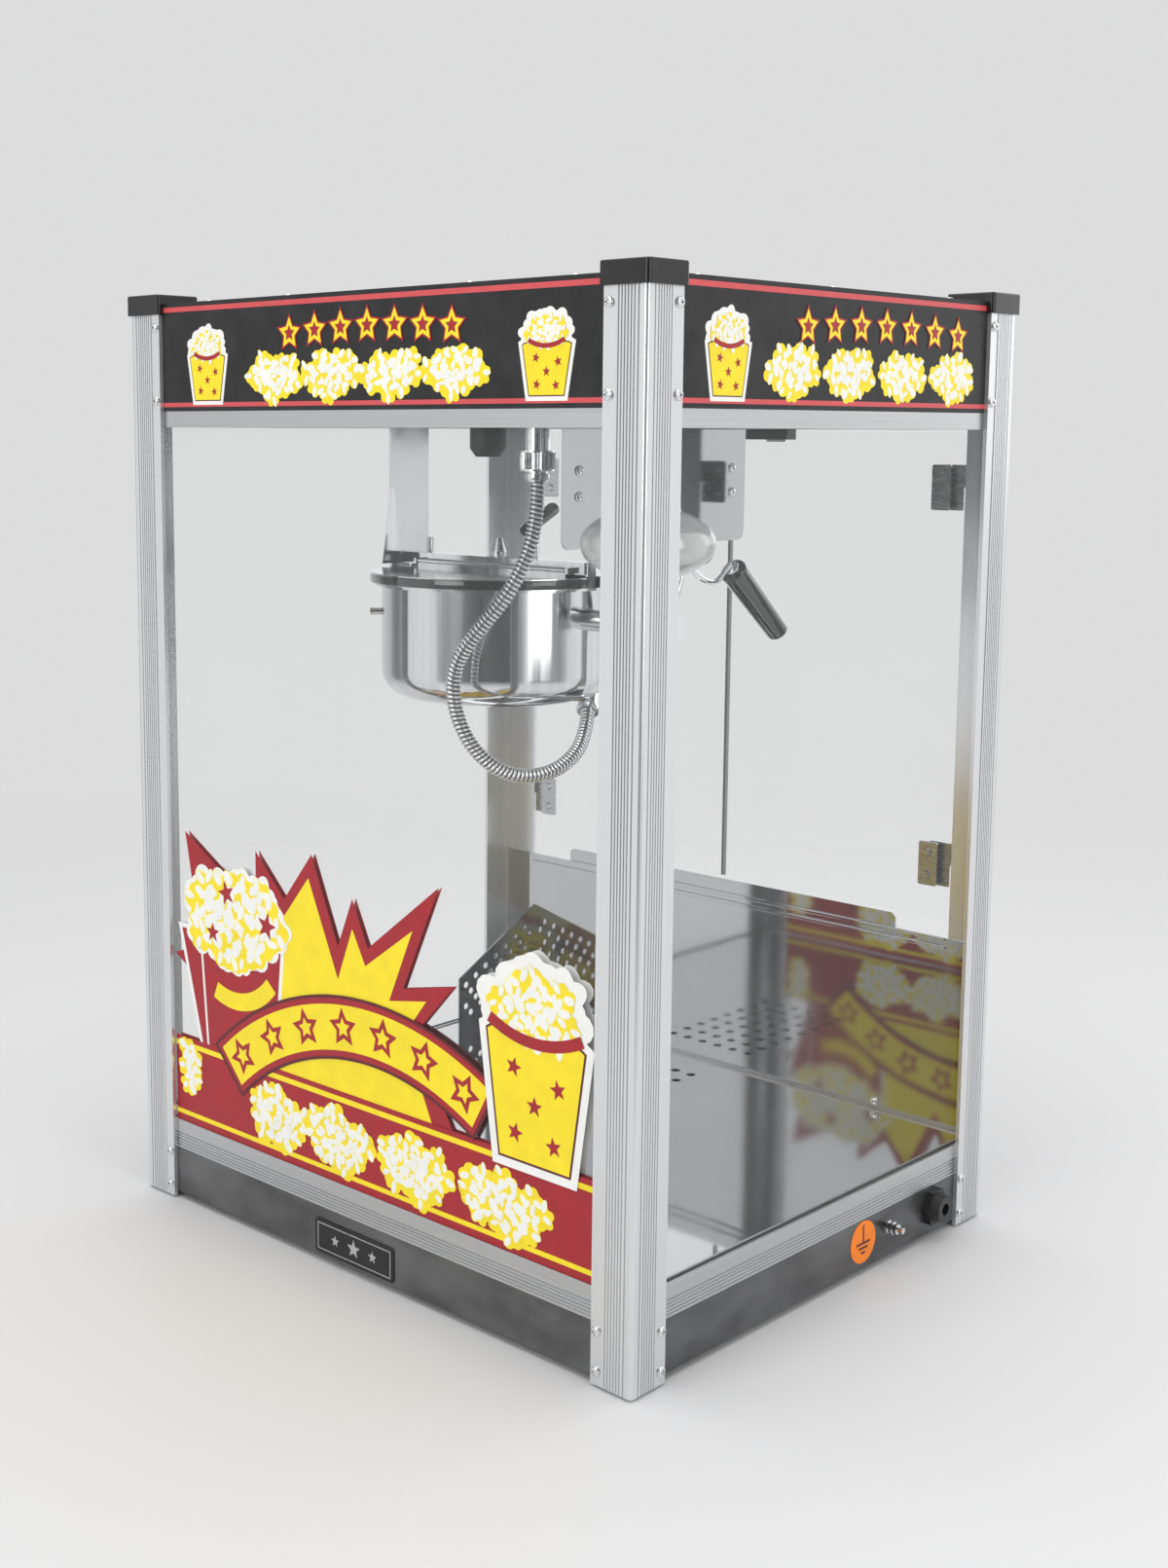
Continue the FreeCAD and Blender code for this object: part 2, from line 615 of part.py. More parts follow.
def make_bridge():
    """The channel across the kettle that carries both lids and steadies the stirrer's shaft."""
    x, y = KETTLE
    wide = (y - BRIDGE_HALF, y + BRIDGE_HALF)
    bar = box(BRIDGE_X, wide, BRIDGE_Z)
    trough_z = (BRIDGE_Z[0] - 1, BRIDGE_Z[1] - SHEET)
    bar = bar.cut(box((BRIDGE_X[0] - 1, BRIDGE_X[1] + 1), (wide[0] + SHEET, wide[1] - SHEET), trough_z))
    pieces = [bar]
    for side in (-1, 1):
        foot_x = sorted((x + side * 102.5, x + side * 105.5))
        pieces.append(box(foot_x, (y - 5.0, y + 5.0), (KETTLE_Z[1], BRIDGE_Z[1] - 1.0)))
    for side in (-1, 1):
        for end in (-1, 1):
            ear_x = sorted((x + end * 88.0, x + end * 91.0))
            ear_y = sorted((y + side * BRIDGE_HALF, y + side * (LID_HINGE_Y + 2.5)))
            pieces.append(box(ear_x, ear_y, (BRIDGE_Z[0] + 0.5, BRIDGE_Z[0] + 5.5)))
            pin_y, pin_z = y + side * LID_HINGE_Y, LID_HINGE_Z
            pieces.append(rod(1.0, (x + end * 89.0, pin_y, pin_z), (x + end * 80.0, pin_y, pin_z)))
    pieces.append(plate(RETAINER_OUTLINE, BRIDGE_X[0] - 0.5, 1.5, "x"))
    pieces.append(rod(3.0, (STUD_X, y, BRIDGE_Z[1] - 1.0), (STUD_X, y, BRIDGE_Z[1] + 14.0)))
    bridge = joined(*pieces)
    bore = Part.makeCylinder(STIRRER_SHAFT_R + FIT, 40.0, V(x, y, BRIDGE_Z[0] - 10))
    save("lid_bridge", bridge.cut(bore))


def half_lid(side):
    """One half of the round lid, with a turned-down lip and a rolled bead on its hinge line."""
    x, y = KETTLE
    top = outline([(0, LID_Z), (LID_R, LID_Z), (LID_R, LID_Z + 1.2), (0, LID_Z + 1.2)])
    lip_z = (KETTLE_Z[1] + 0.3, LID_Z + 0.5)
    lip = outline([(LID_R - 1.2, lip_z[0]), (LID_R, lip_z[0]), (LID_R, lip_z[1]), (LID_R - 1.2, lip_z[1])])
    whole = joined(revolved(top, x, y), revolved(lip, x, y))
    hinge_y = y + side * LID_HINGE_Y
    lid = whole.common(box((x - 200, x + 200), sorted((hinge_y, y + side * 200.0)), (500, 600)))
    bead = rod(2.0, (x - 87.0, hinge_y, LID_HINGE_Z), (x + 87.0, hinge_y, LID_HINGE_Z))
    web = box((x - 87.0, x + 87.0), sorted((hinge_y, hinge_y + side * 1.2)), (LID_Z + 0.2, LID_HINGE_Z))
    bore = rod(1.0 + FIT, (x - 90.0, hinge_y, LID_HINGE_Z), (x + 90.0, hinge_y, LID_HINGE_Z))
    return joined(lid, bead, web).cut(bore)


def make_lids():
    x, y = KETTLE
    save("lid_front", half_lid(-1))
    foot = box((x - 9.0, x + 9.0), (y + 40.0, y + 68.0), (LID_Z + 1.2, LID_Z + 2.7))
    rib_outline = [(y + 44.0, LID_Z + 2.0), (y + 66.0, LID_Z + 2.0), (y + 50.0, LID_Z + 12.0)]
    rib = plate(rib_outline, x - 1.5, 3.0, "x")
    stem = rod(2.5, (x, y + 47.0, LID_Z + 2.0), (x, y + 47.0, LID_Z + 42.0))
    grip = rod(6.0, (x, y + 31.0, LID_Z + 35.0), (x, y + 72.0, LID_Z + 56.0))
    grip = grip.makeFillet(2.5, [grip.Edges[0], grip.Edges[2]])
    save("lid_rear", half_lid(1))
    save("lid_lever", joined(foot, rib, stem, grip))


def make_handle():
    y = KETTLE[1]
    hub = rod(9.0, (112.0, y, PIVOT_Z), (134.0, y, PIVOT_Z))
    hub = hub.cut(rod(PIVOT_R, (100, y, PIVOT_Z), (132, y, PIVOT_Z)))
    bend = [
        (126.0, y, PIVOT_Z + 7.0),
        (128.0, 2.0, 567.0),
        (128.0, 26.0, 551.0),
        (128.0, 44.0, 548.0),
        HANDLE_TOP,
    ]
    path, _ = cord_path(bend)
    start = V(*bend[0])
    ring = Part.Wire(Part.makeCircle(HANDLE_WIRE_R, start, V(*bend[1]) - start))
    wire = path.makePipeShell([ring], True, False)
    stem = rod(HANDLE_WIRE_R, HANDLE_TOP, HANDLE_END)
    ball = Part.makeSphere(HANDLE_WIRE_R, V(*HANDLE_TOP))
    save("tilt_handle", joined(hub, wire, ball, stem))
    top, end = V(*HANDLE_TOP), V(*HANDLE_END)
    along = end - top
    along.normalize()
    base = top + along * 5.0
    length = (end - top).Length - 2.0
    grip = Part.makeCone(11.5, 9.5, length, base, along)
    grip = grip.makeFillet(3.5, grip.Edges[:1] + grip.Edges[2:])
    save("handle_grip", grip.cut(stem))


# ---- operator's side ----
def make_doors():
    pane_y = (HALF_Y - 4.5, HALF_Y - 0.5)
    pane = box((DOOR_GAP, HINGE_AXIS[0] - 2.0), pane_y, DOOR_Z)
    axis_x, axis_y = HINGE_AXIS
    fittings, leaves = [], []
    for low in HINGE_HEIGHTS:
        middle, high = low + HINGE_LENGTH / 2, low + HINGE_LENGTH
        barrel = rod(HINGE_RADIUS, (axis_x, axis_y, middle + 0.2), (axis_x, axis_y, high))
        web = box((axis_x - 5.0, axis_x), (pane_y[1], axis_y - 1.9), (middle + 0.2, high))
        outer = box((axis_x - 24.0, axis_x - 4.5), (pane_y[1], pane_y[1] + 1.6), (low, high))
        moving = joined(outer, web, barrel)
        moving = moving.cut(rod(HINGE_PIN + FIT, (axis_x, axis_y, low - 5), (axis_x, axis_y, high + 5)))
        inner = box((axis_x - 31.0, axis_x - 13.0), (pane_y[0] - 2.0, pane_y[0]), (low, high))
        inner = rounded(inner, 2.0, lambda e: abs(e.Length - 2.0) < 1e-6)
        fittings += [moving, inner]
        for z in (low + 9.0, high - 9.0):
            fittings.append(Part.makeCone(3.6, 2.6, 1.6, V(axis_x - 22.0, pane_y[0] - 2.0, z), V(0, -1, 0)))
        fixed_barrel = rod(HINGE_RADIUS, (axis_x, axis_y, low), (axis_x, axis_y, middle))
        fixed_web = box((axis_x, axis_x + 5.0), (HALF_Y, axis_y - 1.9), (low, middle))
        fixed_leaf = box((axis_x + 4.5, axis_x + 24.0), (HALF_Y, HALF_Y + 1.6), (low, high))
        fixed = joined(fixed_leaf, fixed_web, fixed_barrel)
        pin = rod(HINGE_PIN, (axis_x, axis_y, low + 1.0), (axis_x, axis_y, high - 0.5))
        leaves.append(joined(fixed, pin))
    save("door_right_pane", pane)
    save("door_left_pane", mirrored_x(pane))
    strike = box((40.0, 60.0), (pane_y[0] - 1.2, pane_y[0]), (661.0, DOOR_Z[1] - 0.5))
    fittings.append(strike)
    save("door_right_fittings", *fittings)
    save("door_left_fittings", *[mirrored_x(f) for f in fittings])
    save("hinge_leaves", *leaves, *[mirrored_x(f) for f in leaves])


def make_drawer():
    x, z = DRAWER_X, DRAWER_Z
    tray = box((-x, x), DRAWER_Y, z)
    hollow_y = (DRAWER_Y[0] + 1.5, DRAWER_Y[1] - 1.5)
    tray = tray.cut(box((-x + 1.5, x - 1.5), hollow_y, (z[0] + 1.5, z[1] + 5)))
    front = box((-x - 4.0, x + 4.0), (DRAWER_Y[1], DRAWER_Y[1] + 1.5), (9.0, 46.0))
    pull = box((-40.0, 40.0), (DRAWER_Y[1] + 1.0, DRAWER_Y[1] + 9.0), (26.0, 28.0))
    save("crumb_drawer", joined(tray, front, pull))
    runner = box((x + 0.5, x + 3.0), (DRAWER_Y[0], 215.0), (SKIRT_Z[0], 30.0))
    shelf = box((x - 14.0, x + 3.0), (DRAWER_Y[0], 215.0), (SKIRT_Z[0], z[0] - 0.3))
    runner = joined(runner, shelf)
    save("drawer_runners", runner, mirrored_x(runner))


def make_switches():
    bezels = []
    for name, x in zip(SWITCH_NAMES, SWITCH_X):
        housing_z = (SWITCH_Z - HOUSING_Z, SWITCH_Z + HOUSING_Z)
        housing = box((x - HOUSING_X, x + HOUSING_X), (INNER_Y - 16.0, INNER_Y), housing_z)
        flange = box((x - 13.0, x + 13.0), (INNER_Y, INNER_Y + 2.0), (SWITCH_Z - 18.5, SWITCH_Z + 18.5))
        flange = rounded(flange, 2.0, lambda e: abs(e.Length - 2.0) < 1e-6)
        hollow_z = (SWITCH_Z - 14.2, SWITCH_Z + 14.2)
        hollow = box((x - 9.2, x + 9.2), (INNER_Y - 12.0, INNER_Y + 5.0), hollow_z)
        y = INNER_Y - 2.0
        pin_x = (x - ROCKER_X - 1.7, x + ROCKER_X + 1.7)
        bore = rod(ROCKER_PIN_R + FIT, (x - HOUSING_X, y, SWITCH_Z), (x + HOUSING_X, y, SWITCH_Z))
        bezels.append(joined(housing, flange).cut(hollow).cut(bore))
        profile = [
            (INNER_Y - 5.0, SWITCH_Z - 9.0),
            (INNER_Y + 1.0, SWITCH_Z - ROCKER_Z),
            (INNER_Y + 5.0, SWITCH_Z - ROCKER_Z),
            (INNER_Y + 2.6, SWITCH_Z),
            (INNER_Y + 5.0, SWITCH_Z + ROCKER_Z),
            (INNER_Y + 1.0, SWITCH_Z + ROCKER_Z),
            (INNER_Y - 5.0, SWITCH_Z + 9.0),
        ]
        rocker = plate(profile, x - ROCKER_X, 2 * ROCKER_X, "x")
        rocker = joined(rocker, rod(ROCKER_PIN_R, (pin_x[0], y, SWITCH_Z), (pin_x[1], y, SWITCH_Z)))
        rocker.rotate(V(x, y, SWITCH_Z), X_AXIS, -ROCKER_TILT)
        save("rocker_" + name, rocker)
    save("switch_bezels", *bezels)


# ---- outside ----
def pan_head(point, direction):
    head = Part.makeCylinder(3.9, 2.2, V(*point), V(*direction))
    top = V(*point) + V(*direction) * 2.2
    far = [e for e in head.Edges if (e.CenterOfMass - top).Length < 0.01]
    head = head.makeFillet(1.4, far)
    cross = []
    for wide, tall in ((0.55, 2.2), (2.2, 0.55)):
        z = (top.z - tall, top.z + tall)
        if direction[0]:
            cross.append(box((top.x - 1.0, top.x + 1.0), (top.y - wide, top.y + wide), z))
        else:
            cross.append(box((top.x - wide, top.x + wide), (top.y - 1.0, top.y + 1.0), z))
    return head.cut(joined(*cross))


def make_screws():
    heads = []
    for side_x in (-1, 1):
        for side_y in (-1, 1):
            for z in SCREW_HEIGHTS:
                x, y = side_x * (HALF_X - SCREW_FROM_CORNER), side_y * (HALF_Y - SCREW_FACE)
                heads.append(pan_head((x, y, z), (0, side_y, 0)))
                x, y = side_x * (HALF_X - SCREW_FACE), side_y * (HALF_Y - SCREW_FROM_CORNER)
                heads.append(pan_head((x, y, z), (side_x, 0, 0)))
    save("frame_screws", *heads)


def hexagon(centre, across, x):
    """A hexagon of the given width across flats, as (y, z) points."""
    radius = across / math.sqrt(3)
    turns = [math.radians(60 * i) for i in range(6)]
    return [(centre[0] + radius * math.cos(a), centre[1] + radius * math.sin(a)) for a in turns]


def make_outside_pieces():
    y, z = EARTH_STUD
    stud = rod(STUD_R, (268.0, y, z), (INNER_X + 14.0, y, z))
    nuts = [plate(hexagon(EARTH_STUD, 8.0, x), x, 3.8, "x") for x in (INNER_X + 0.6, INNER_X + 5.4)]
    washers = [rod(5.2, (x, y, z), (x + 0.8, y, z)) for x in (INNER_X, INNER_X + 4.5)]
    save("earth_stud", joined(stud, *nuts, *washers))

    y, z = GLAND
    flange = plate(hexagon(GLAND, 28.0, INNER_X), INNER_X, 6.0, "x")
    dome = Part.makeCone(12.5, 11.0, 7.5, V(INNER_X + 6.0, y, z), X_AXIS)
    thread = rod(GLAND_THREAD_R, (262.0, y, z), (INNER_X, y, z))
    nut = plate(hexagon(GLAND, 26.0, 0), 268.5, 6.0, "x")
    gland = joined(flange, dome, thread, nut)
    save("cable_gland", gland.cut(rod(GLAND_BORE_R, (255.0, y, z), (300.0, y, z))))

    name_plate = box((-56.0, 36.0), (-INNER_Y - 1.2, -INNER_Y), (8.5, 37.0))
    name_plate = rounded(name_plate, 2.0, lambda e: abs(e.Length - 1.2) < 1e-6)
    save("name_plate", name_plate)
    save("earth_label", rod(17.5, (INNER_X, 59.0, 28.0), (INNER_X + 0.3, 59.0, 28.0)))


def main():
    os.makedirs("parts", exist_ok=True)
    make_posts()
    make_caps()
    make_rails()
    make_base()
    make_header()
    make_glazing()
    make_deck()
    make_rear_panel()
    make_hangers()
    make_lamp()
    make_ceiling_pieces()
    make_conduit()
    make_kettle()
    make_drive()
    make_bridge()
    make_lids()
    make_handle()
    make_doors()
    make_drawer()
    make_switches()
    make_screws()
    make_outside_pieces()


main()
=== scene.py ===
import math
import random

import bmesh
import bpy
from mathutils import Matrix, Vector


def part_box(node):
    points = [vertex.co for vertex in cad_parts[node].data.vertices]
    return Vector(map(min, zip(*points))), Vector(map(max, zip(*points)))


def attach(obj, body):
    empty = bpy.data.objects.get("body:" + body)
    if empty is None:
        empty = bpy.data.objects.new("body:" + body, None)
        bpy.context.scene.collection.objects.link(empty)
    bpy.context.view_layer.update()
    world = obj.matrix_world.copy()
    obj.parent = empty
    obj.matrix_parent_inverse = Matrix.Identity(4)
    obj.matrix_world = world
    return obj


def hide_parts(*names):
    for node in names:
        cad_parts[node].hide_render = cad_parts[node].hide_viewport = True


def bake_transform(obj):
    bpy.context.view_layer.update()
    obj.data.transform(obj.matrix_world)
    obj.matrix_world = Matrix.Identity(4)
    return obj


# Metres, in the part's own frame: +X the customer's right, -Y the customer's front, +Z up.
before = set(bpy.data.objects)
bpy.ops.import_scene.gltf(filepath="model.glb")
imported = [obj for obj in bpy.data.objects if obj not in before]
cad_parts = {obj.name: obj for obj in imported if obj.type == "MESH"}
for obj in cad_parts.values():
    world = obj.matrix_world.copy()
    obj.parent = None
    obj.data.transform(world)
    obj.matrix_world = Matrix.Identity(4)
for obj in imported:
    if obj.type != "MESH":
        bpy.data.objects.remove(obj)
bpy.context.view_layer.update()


# ---- camera ----
def make_camera():
    """The photograph's viewpoint."""
    data = bpy.data.cameras.new("camera")
    data.sensor_width = 36.0
    data.lens = 44.84
    data.shift_x = 0.0745
    data.shift_y = -0.0497
    data.clip_start = 0.05
    data.clip_end = 200.0
    camera = bpy.data.objects.new("camera", data)
    camera.location = (1.0942, -1.2244, 0.6692)
    yaw, pitch, roll = (math.radians(a) for a in (44.58, -8.0, 0.18))
    turn = Matrix.Rotation(yaw, 3, "Z") @ Matrix.Rotation(math.pi / 2 + pitch, 3, "X")
    camera.rotation_euler = (turn @ Matrix.Rotation(roll, 3, "Z")).to_euler()
    bpy.context.scene.collection.objects.link(camera)
    bpy.context.scene.camera = camera
    bpy.context.scene.view_settings.view_transform = "Standard"


# ---- materials ----
NOISE_LOW, NOISE_HIGH = 0.3, 0.7    # the noise values that give the lowest and the highest tone


def look(name, tone, metallic=0.0, roughness=0.4, grain=(60, 60, 60), spread=0.06, rough_spread=0.05,
         bump=0.0, bump_distance=0.0002, detail=3.0, **sockets):
    """A material whose tone and gloss wander a little, with a noise that grain stretches along an axis."""
    mat = bpy.data.materials.new(name)
    mat.use_nodes = True
    nodes, links = mat.node_tree.nodes, mat.node_tree.links
    shader = nodes["Principled BSDF"]
    shader.inputs["Metallic"].default_value = metallic
    for socket, value in sockets.items():
        shader.inputs[socket.replace("_", " ")].default_value = value
    place = nodes.new("ShaderNodeTexCoord")
    mapping = nodes.new("ShaderNodeMapping")
    mapping.inputs["Scale"].default_value = grain
    links.new(place.outputs["Object"], mapping.inputs["Vector"])
    noise = nodes.new("ShaderNodeTexNoise")
    noise.inputs["Scale"].default_value = 1.0
    noise.inputs["Detail"].default_value = detail
    links.new(mapping.outputs["Vector"], noise.inputs["Vector"])
    ramp = nodes.new("ShaderNodeValToRGB")
    ramp.color_ramp.elements[0].position = NOISE_LOW
    ramp.color_ramp.elements[1].position = NOISE_HIGH
    ramp.color_ramp.elements[0].color = [c * (1 - spread) for c in tone] + [1]
    ramp.color_ramp.elements[1].color = [min(1.0, c * (1 + spread)) for c in tone] + [1]
    links.new(noise.outputs["Fac"], ramp.inputs["Fac"])
    links.new(ramp.outputs["Color"], shader.inputs["Base Color"])
    gloss = nodes.new("ShaderNodeMapRange")
    gloss.inputs["From Min"].default_value = NOISE_LOW
    gloss.inputs["From Max"].default_value = NOISE_HIGH
    gloss.inputs["To Min"].default_value = max(0.0, roughness - rough_spread)
    gloss.inputs["To Max"].default_value = roughness + rough_spread
    links.new(noise.outputs["Fac"], gloss.inputs["Value"])
    links.new(gloss.outputs["Result"], shader.inputs["Roughness"])
    if bump:
        relief = nodes.new("ShaderNodeBump")
        relief.inputs["Strength"].default_value = bump
        relief.inputs["Distance"].default_value = bump_distance
        links.new(noise.outputs["Fac"], relief.inputs["Height"])
        links.new(relief.outputs["Normal"], shader.inputs["Normal"])
    return mat


UPRIGHT_GRAIN = (700, 700, 2)
LEVEL_GRAIN = (6, 6, 900)
SATIN = (0.72, 0.73, 0.74)
DULL = (0.55, 0.56, 0.57)

# Each look: tone, metallic, roughness, grain, spread of the tone, spread of the roughness, and bump.
LOOKS = {
    "aluminium_upright": look("aluminium_upright", SATIN, 0.75, 0.24, UPRIGHT_GRAIN, 0.02, 0.03, 0.015),
    "aluminium_level": look("aluminium_level", DULL, 1.0, 0.33, LEVEL_GRAIN, 0.06, 0.05, 0.10),
    "black_gloss": look("black_gloss", (0.012, 0.012, 0.013), 0.0, 0.22, (90, 90, 90), 0.3, 0.06, 0.15),
    "black_plastic": look("black_plastic", (0.018, 0.018, 0.019), 0.0, 0.38, (900, 900, 900), 0.3, 0.05,
                          0.25),
    "dark_steel": look("dark_steel", (0.15, 0.152, 0.155), 0.85, 0.34, (16, 16, 30), 0.32, 0.09, 0.1,
                       detail=6.0),
    "black_rubber": look("black_rubber", (0.02, 0.02, 0.02), 0.0, 0.75, (500, 500, 500), 0.25, 0.08, 0.4),
    "sign_black": look("sign_black", (0.028, 0.028, 0.029), 0.0, 0.40, (40, 40, 40), 0.25, 0.05, IOR=1.3),
    "panel_black": look("panel_black", (0.022, 0.022, 0.024), 0.0, 0.42, (700, 700, 700), 0.3, 0.06, 0.2),
    "mirror_steel": look("mirror_steel", (0.50, 0.51, 0.52), 1.0, 0.055, (7, 7, 7), 0.03, 0.02, 0.06,
                         0.002),
    "deck_steel": look("deck_steel", (0.68, 0.69, 0.70), 1.0, 0.04, (7, 7, 7), 0.03, 0.015, 0.05, 0.002),
    "kettle_steel": look("kettle_steel", (0.68, 0.69, 0.70), 1.0, 0.10, (150, 150, 3), 0.08, 0.04, 0.03),
    "brushed_steel": look("brushed_steel", (0.62, 0.63, 0.64), 1.0, 0.30, (30, 30, 700), 0.10, 0.07, 0.2),
    "top_steel": look("top_steel", (0.40, 0.41, 0.42), 1.0, 0.42, (5, 500, 500), 0.05, 0.05, 0.04),
    "chrome": look("chrome", (0.82, 0.82, 0.83), 1.0, 0.10, (300, 300, 300), 0.05, 0.05),
    "hose_steel": look("hose_steel", (0.70, 0.70, 0.71), 1.0, 0.18, (260, 260, 260), 0.12, 0.06),
    # Painted shade: a near-black steel for the hose's grooves, standing for the shade between its crests.
    "painted_groove_shade": look("painted_groove_shade", (0.07, 0.07, 0.07), 0.8, 0.45, (260, 260, 260), 0.2, 0.06),
    "hinge_steel": look("hinge_steel", (0.44, 0.445, 0.45), 1.0, 0.26, (40, 40, 500), 0.10, 0.06, 0.1),
    "glass_edge": look("glass_edge", (0.20, 0.22, 0.215), 0.0, 0.30, (200, 200, 20), 0.15, 0.06),
    "bracket_steel": look("bracket_steel", (0.62, 0.63, 0.64), 1.0, 0.20, (40, 40, 18), 0.07, 0.06, 0.04),
    "clear_glass": look("clear_glass", (0.82, 0.86, 0.85), 0.0, 0.02, (3, 3, 3), 0.02, 0.01, IOR=1.8,
                        Alpha=0.03),
    "frosted_glass": look("frosted_glass", (0.54, 0.54, 0.54), 0.35, 0.24, (25, 25, 25), 0.04, 0.05,
                          Coat_Weight=0.5),
    "ceramic": look("ceramic", (0.72, 0.71, 0.68), 0.0, 0.35, (120, 120, 120), 0.05, 0.05),
    "cast_iron": look("cast_iron", (0.06, 0.06, 0.06), 0.6, 0.6, (300, 300, 300), 0.3, 0.1, 0.5),
    "bakelite": look("bakelite", (0.010, 0.010, 0.010), 0.0, 0.12, (50, 50, 50), 0.3, 0.04,
                     Coat_Weight=1.0),
    "label_orange": look("label_orange", (0.93, 0.22, 0.0), 0.0, 0.42, (150, 150, 150), 0.08, 0.06),
    "ink_red": look("ink_red", (0.36, 0.010, 0.018), 0.0, 0.42, (60, 60, 60), 0.07, 0.05),
    "ink_dark": look("ink_dark", (0.10, 0.008, 0.012), 0.0, 0.40, (60, 60, 60), 0.1, 0.05),
    "ink_yellow": look("ink_yellow", (0.92, 0.73, 0.012), 0.0, 0.40, (60, 60, 60), 0.05, 0.05),
    "ink_bright": look("ink_bright", (0.62, 0.075, 0.085), 0.0, 0.42, (60, 60, 60), 0.06, 0.05),
    "ink_cream": look("ink_cream", (0.90, 0.83, 0.30), 0.0, 0.40, (60, 60, 60), 0.06, 0.05),
    "ink_white": look("ink_white", (0.86, 0.86, 0.83), 0.0, 0.40, (60, 60, 60), 0.03, 0.05),
    "ink_silver": look("ink_silver", (0.60, 0.60, 0.61), 0.9, 0.30, (90, 90, 90), 0.08, 0.05),
}

NODE_LOOKS = {
    "aluminium_upright": ["frame_posts"],
    "aluminium_level": ["bottom_rail_front", "bottom_rail_rear", "bottom_rails_side", "top_rail_front",
                        "top_rail_rear", "top_rails_side"],
    "black_gloss": ["corner_caps"],
    "black_plastic": ["cable_gland", "rocker_kettle", "rocker_stirrer", "rocker_lamp", "switch_bezels",
                      "door_catches", "ceiling_thermostat"],
    "dark_steel": ["skirt_front", "skirt_left", "skirt_right", "skirt_rear", "base_plate"],
    "black_rubber": ["rubber_feet"],
    "sign_black": ["sign_front", "side_signs", "name_plate"],
    "panel_black": ["control_panel"],
    "deck_steel": ["deck"],
    "mirror_steel": ["hanger_right", "rear_panel", "corner_guard", "ceiling_plate"],
    "kettle_steel": ["kettle_shell", "kettle_pan", "lid_front", "lid_rear", "lid_bridge"],
    "bracket_steel": ["hanger_left"],
    "brushed_steel": ["stirrer", "motor_pinion", "gear_motor", "crumb_drawer", "drawer_runners"],
    "hinge_steel": ["hinge_leaves", "door_left_fittings", "door_right_fittings"],
    "top_steel": ["top_cover"],
    "chrome": ["frame_screws", "earth_stud", "tilt_handle", "conduit_fitting"],
    "clear_glass": ["glass_front", "side_glasses", "door_left_pane", "door_right_pane"],
    "frosted_glass": ["lamp_bulb"],
    "ceramic": ["lamp_holder"],
    "cast_iron": ["heater_ring"],
    "bakelite": ["handle_grip"],
    "label_orange": ["earth_label"],
}


def dress_nodes():
    """Every CAD node that stays visible gets its look."""
    for name, nodes in NODE_LOOKS.items():
        for node in nodes:
            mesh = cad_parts[node].data
            mesh.materials.clear()
            mesh.materials.append(LOOKS[name])


# ---- making pieces ----
SHARP_ANGLE = math.radians(40)


def new_piece(name, mesh, material, body):
    """A mesh in one look, riding on a body where one is given."""
    obj = bpy.data.objects.new(name, mesh)
    mesh.materials.append(LOOKS[material])
    bpy.context.scene.collection.objects.link(obj)
    if body:
        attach(obj, body)
    return obj


def finish_mesh(bm, name, smooth=False):
    """Closes the bmesh into a mesh whose normals all point outwards."""
    bmesh.ops.recalc_face_normals(bm, faces=bm.faces)
    mesh = bpy.data.meshes.new(name)
    bm.to_mesh(mesh)
    bm.free()
    if smooth:
        mesh.shade_smooth()
    return mesh


def lathe(name, profile, centre, axis, material, body, segments=32, smooth=True):
    """A turned piece: profile is (radius, height) points, from centre along axis."""
    bm = bmesh.new()
    turn = Vector((0, 0, 1)).rotation_difference(Vector(axis)).to_matrix()
    rings = []
    for radius, height in profile:
        ring = []
        for i in range(segments):
            a = 2 * math.pi * i / segments
            point = turn @ Vector((radius * math.cos(a), radius * math.sin(a), height)) + Vector(centre)
            ring.append(bm.verts.new(point))
        rings.append(ring)
    for low, high in zip(rings, rings[1:]):
        for i in range(segments):
            j = (i + 1) % segments
            bm.faces.new((low[i], low[j], high[j], high[i]))
    bm.faces.new(rings[0])
    bm.faces.new(rings[-1])
    mesh = finish_mesh(bm, name, smooth)
    if smooth:
        mesh.set_sharp_from_angle(angle=SHARP_ANGLE)
    return new_piece(name, mesh, material, body)


def tube_along(points, radius_at, sides):
    """A closed tube along points; radius_at gives its radius at a distance and a share of the way round."""
    bm = bmesh.new()
    travelled, rings = 0.0, []
    normal = None
    for i, point in enumerate(points):
        ahead = points[min(i + 1, len(points) - 1)]
        behind = points[max(i - 1, 0)]
        tangent = (ahead - behind).normalized()
        if normal is None:
            normal = tangent.orthogonal().normalized()
        normal = (normal - tangent * normal.dot(tangent)).normalized()
        side = tangent.cross(normal)
        if i:
            travelled += (point - points[i - 1]).length
        ring = []
        for k in range(sides):
            a = 2 * math.pi * k / sides
            radius = radius_at(travelled, k / sides)
            ring.append(bm.verts.new(point + (normal * math.cos(a) + side * math.sin(a)) * radius))
        rings.append(ring)
    for low, high in zip(rings, rings[1:]):
        for k in range(sides):
            j = (k + 1) % sides
            bm.faces.new((low[k], low[j], high[j], high[k]))
    bm.faces.new(rings[0])
    bm.faces.new(rings[-1])
    return bm


def slab(name, low, high, material, body, bevel=0.0004):
    """A block between two corners, with its edges eased."""
    bm = bmesh.new()
    low, high = Vector(low), Vector(high)
    bmesh.ops.create_cube(bm, size=1.0)
    for vert in bm.verts:
        vert.co = Vector(low[i] + (vert.co[i] + 0.5) * (high[i] - low[i]) for i in range(3))
    bmesh.ops.bevel(bm, geom=bm.edges[:], offset=bevel, segments=2, profile=0.6, affect="EDGES")
    return new_piece(name, finish_mesh(bm, name), material, body)


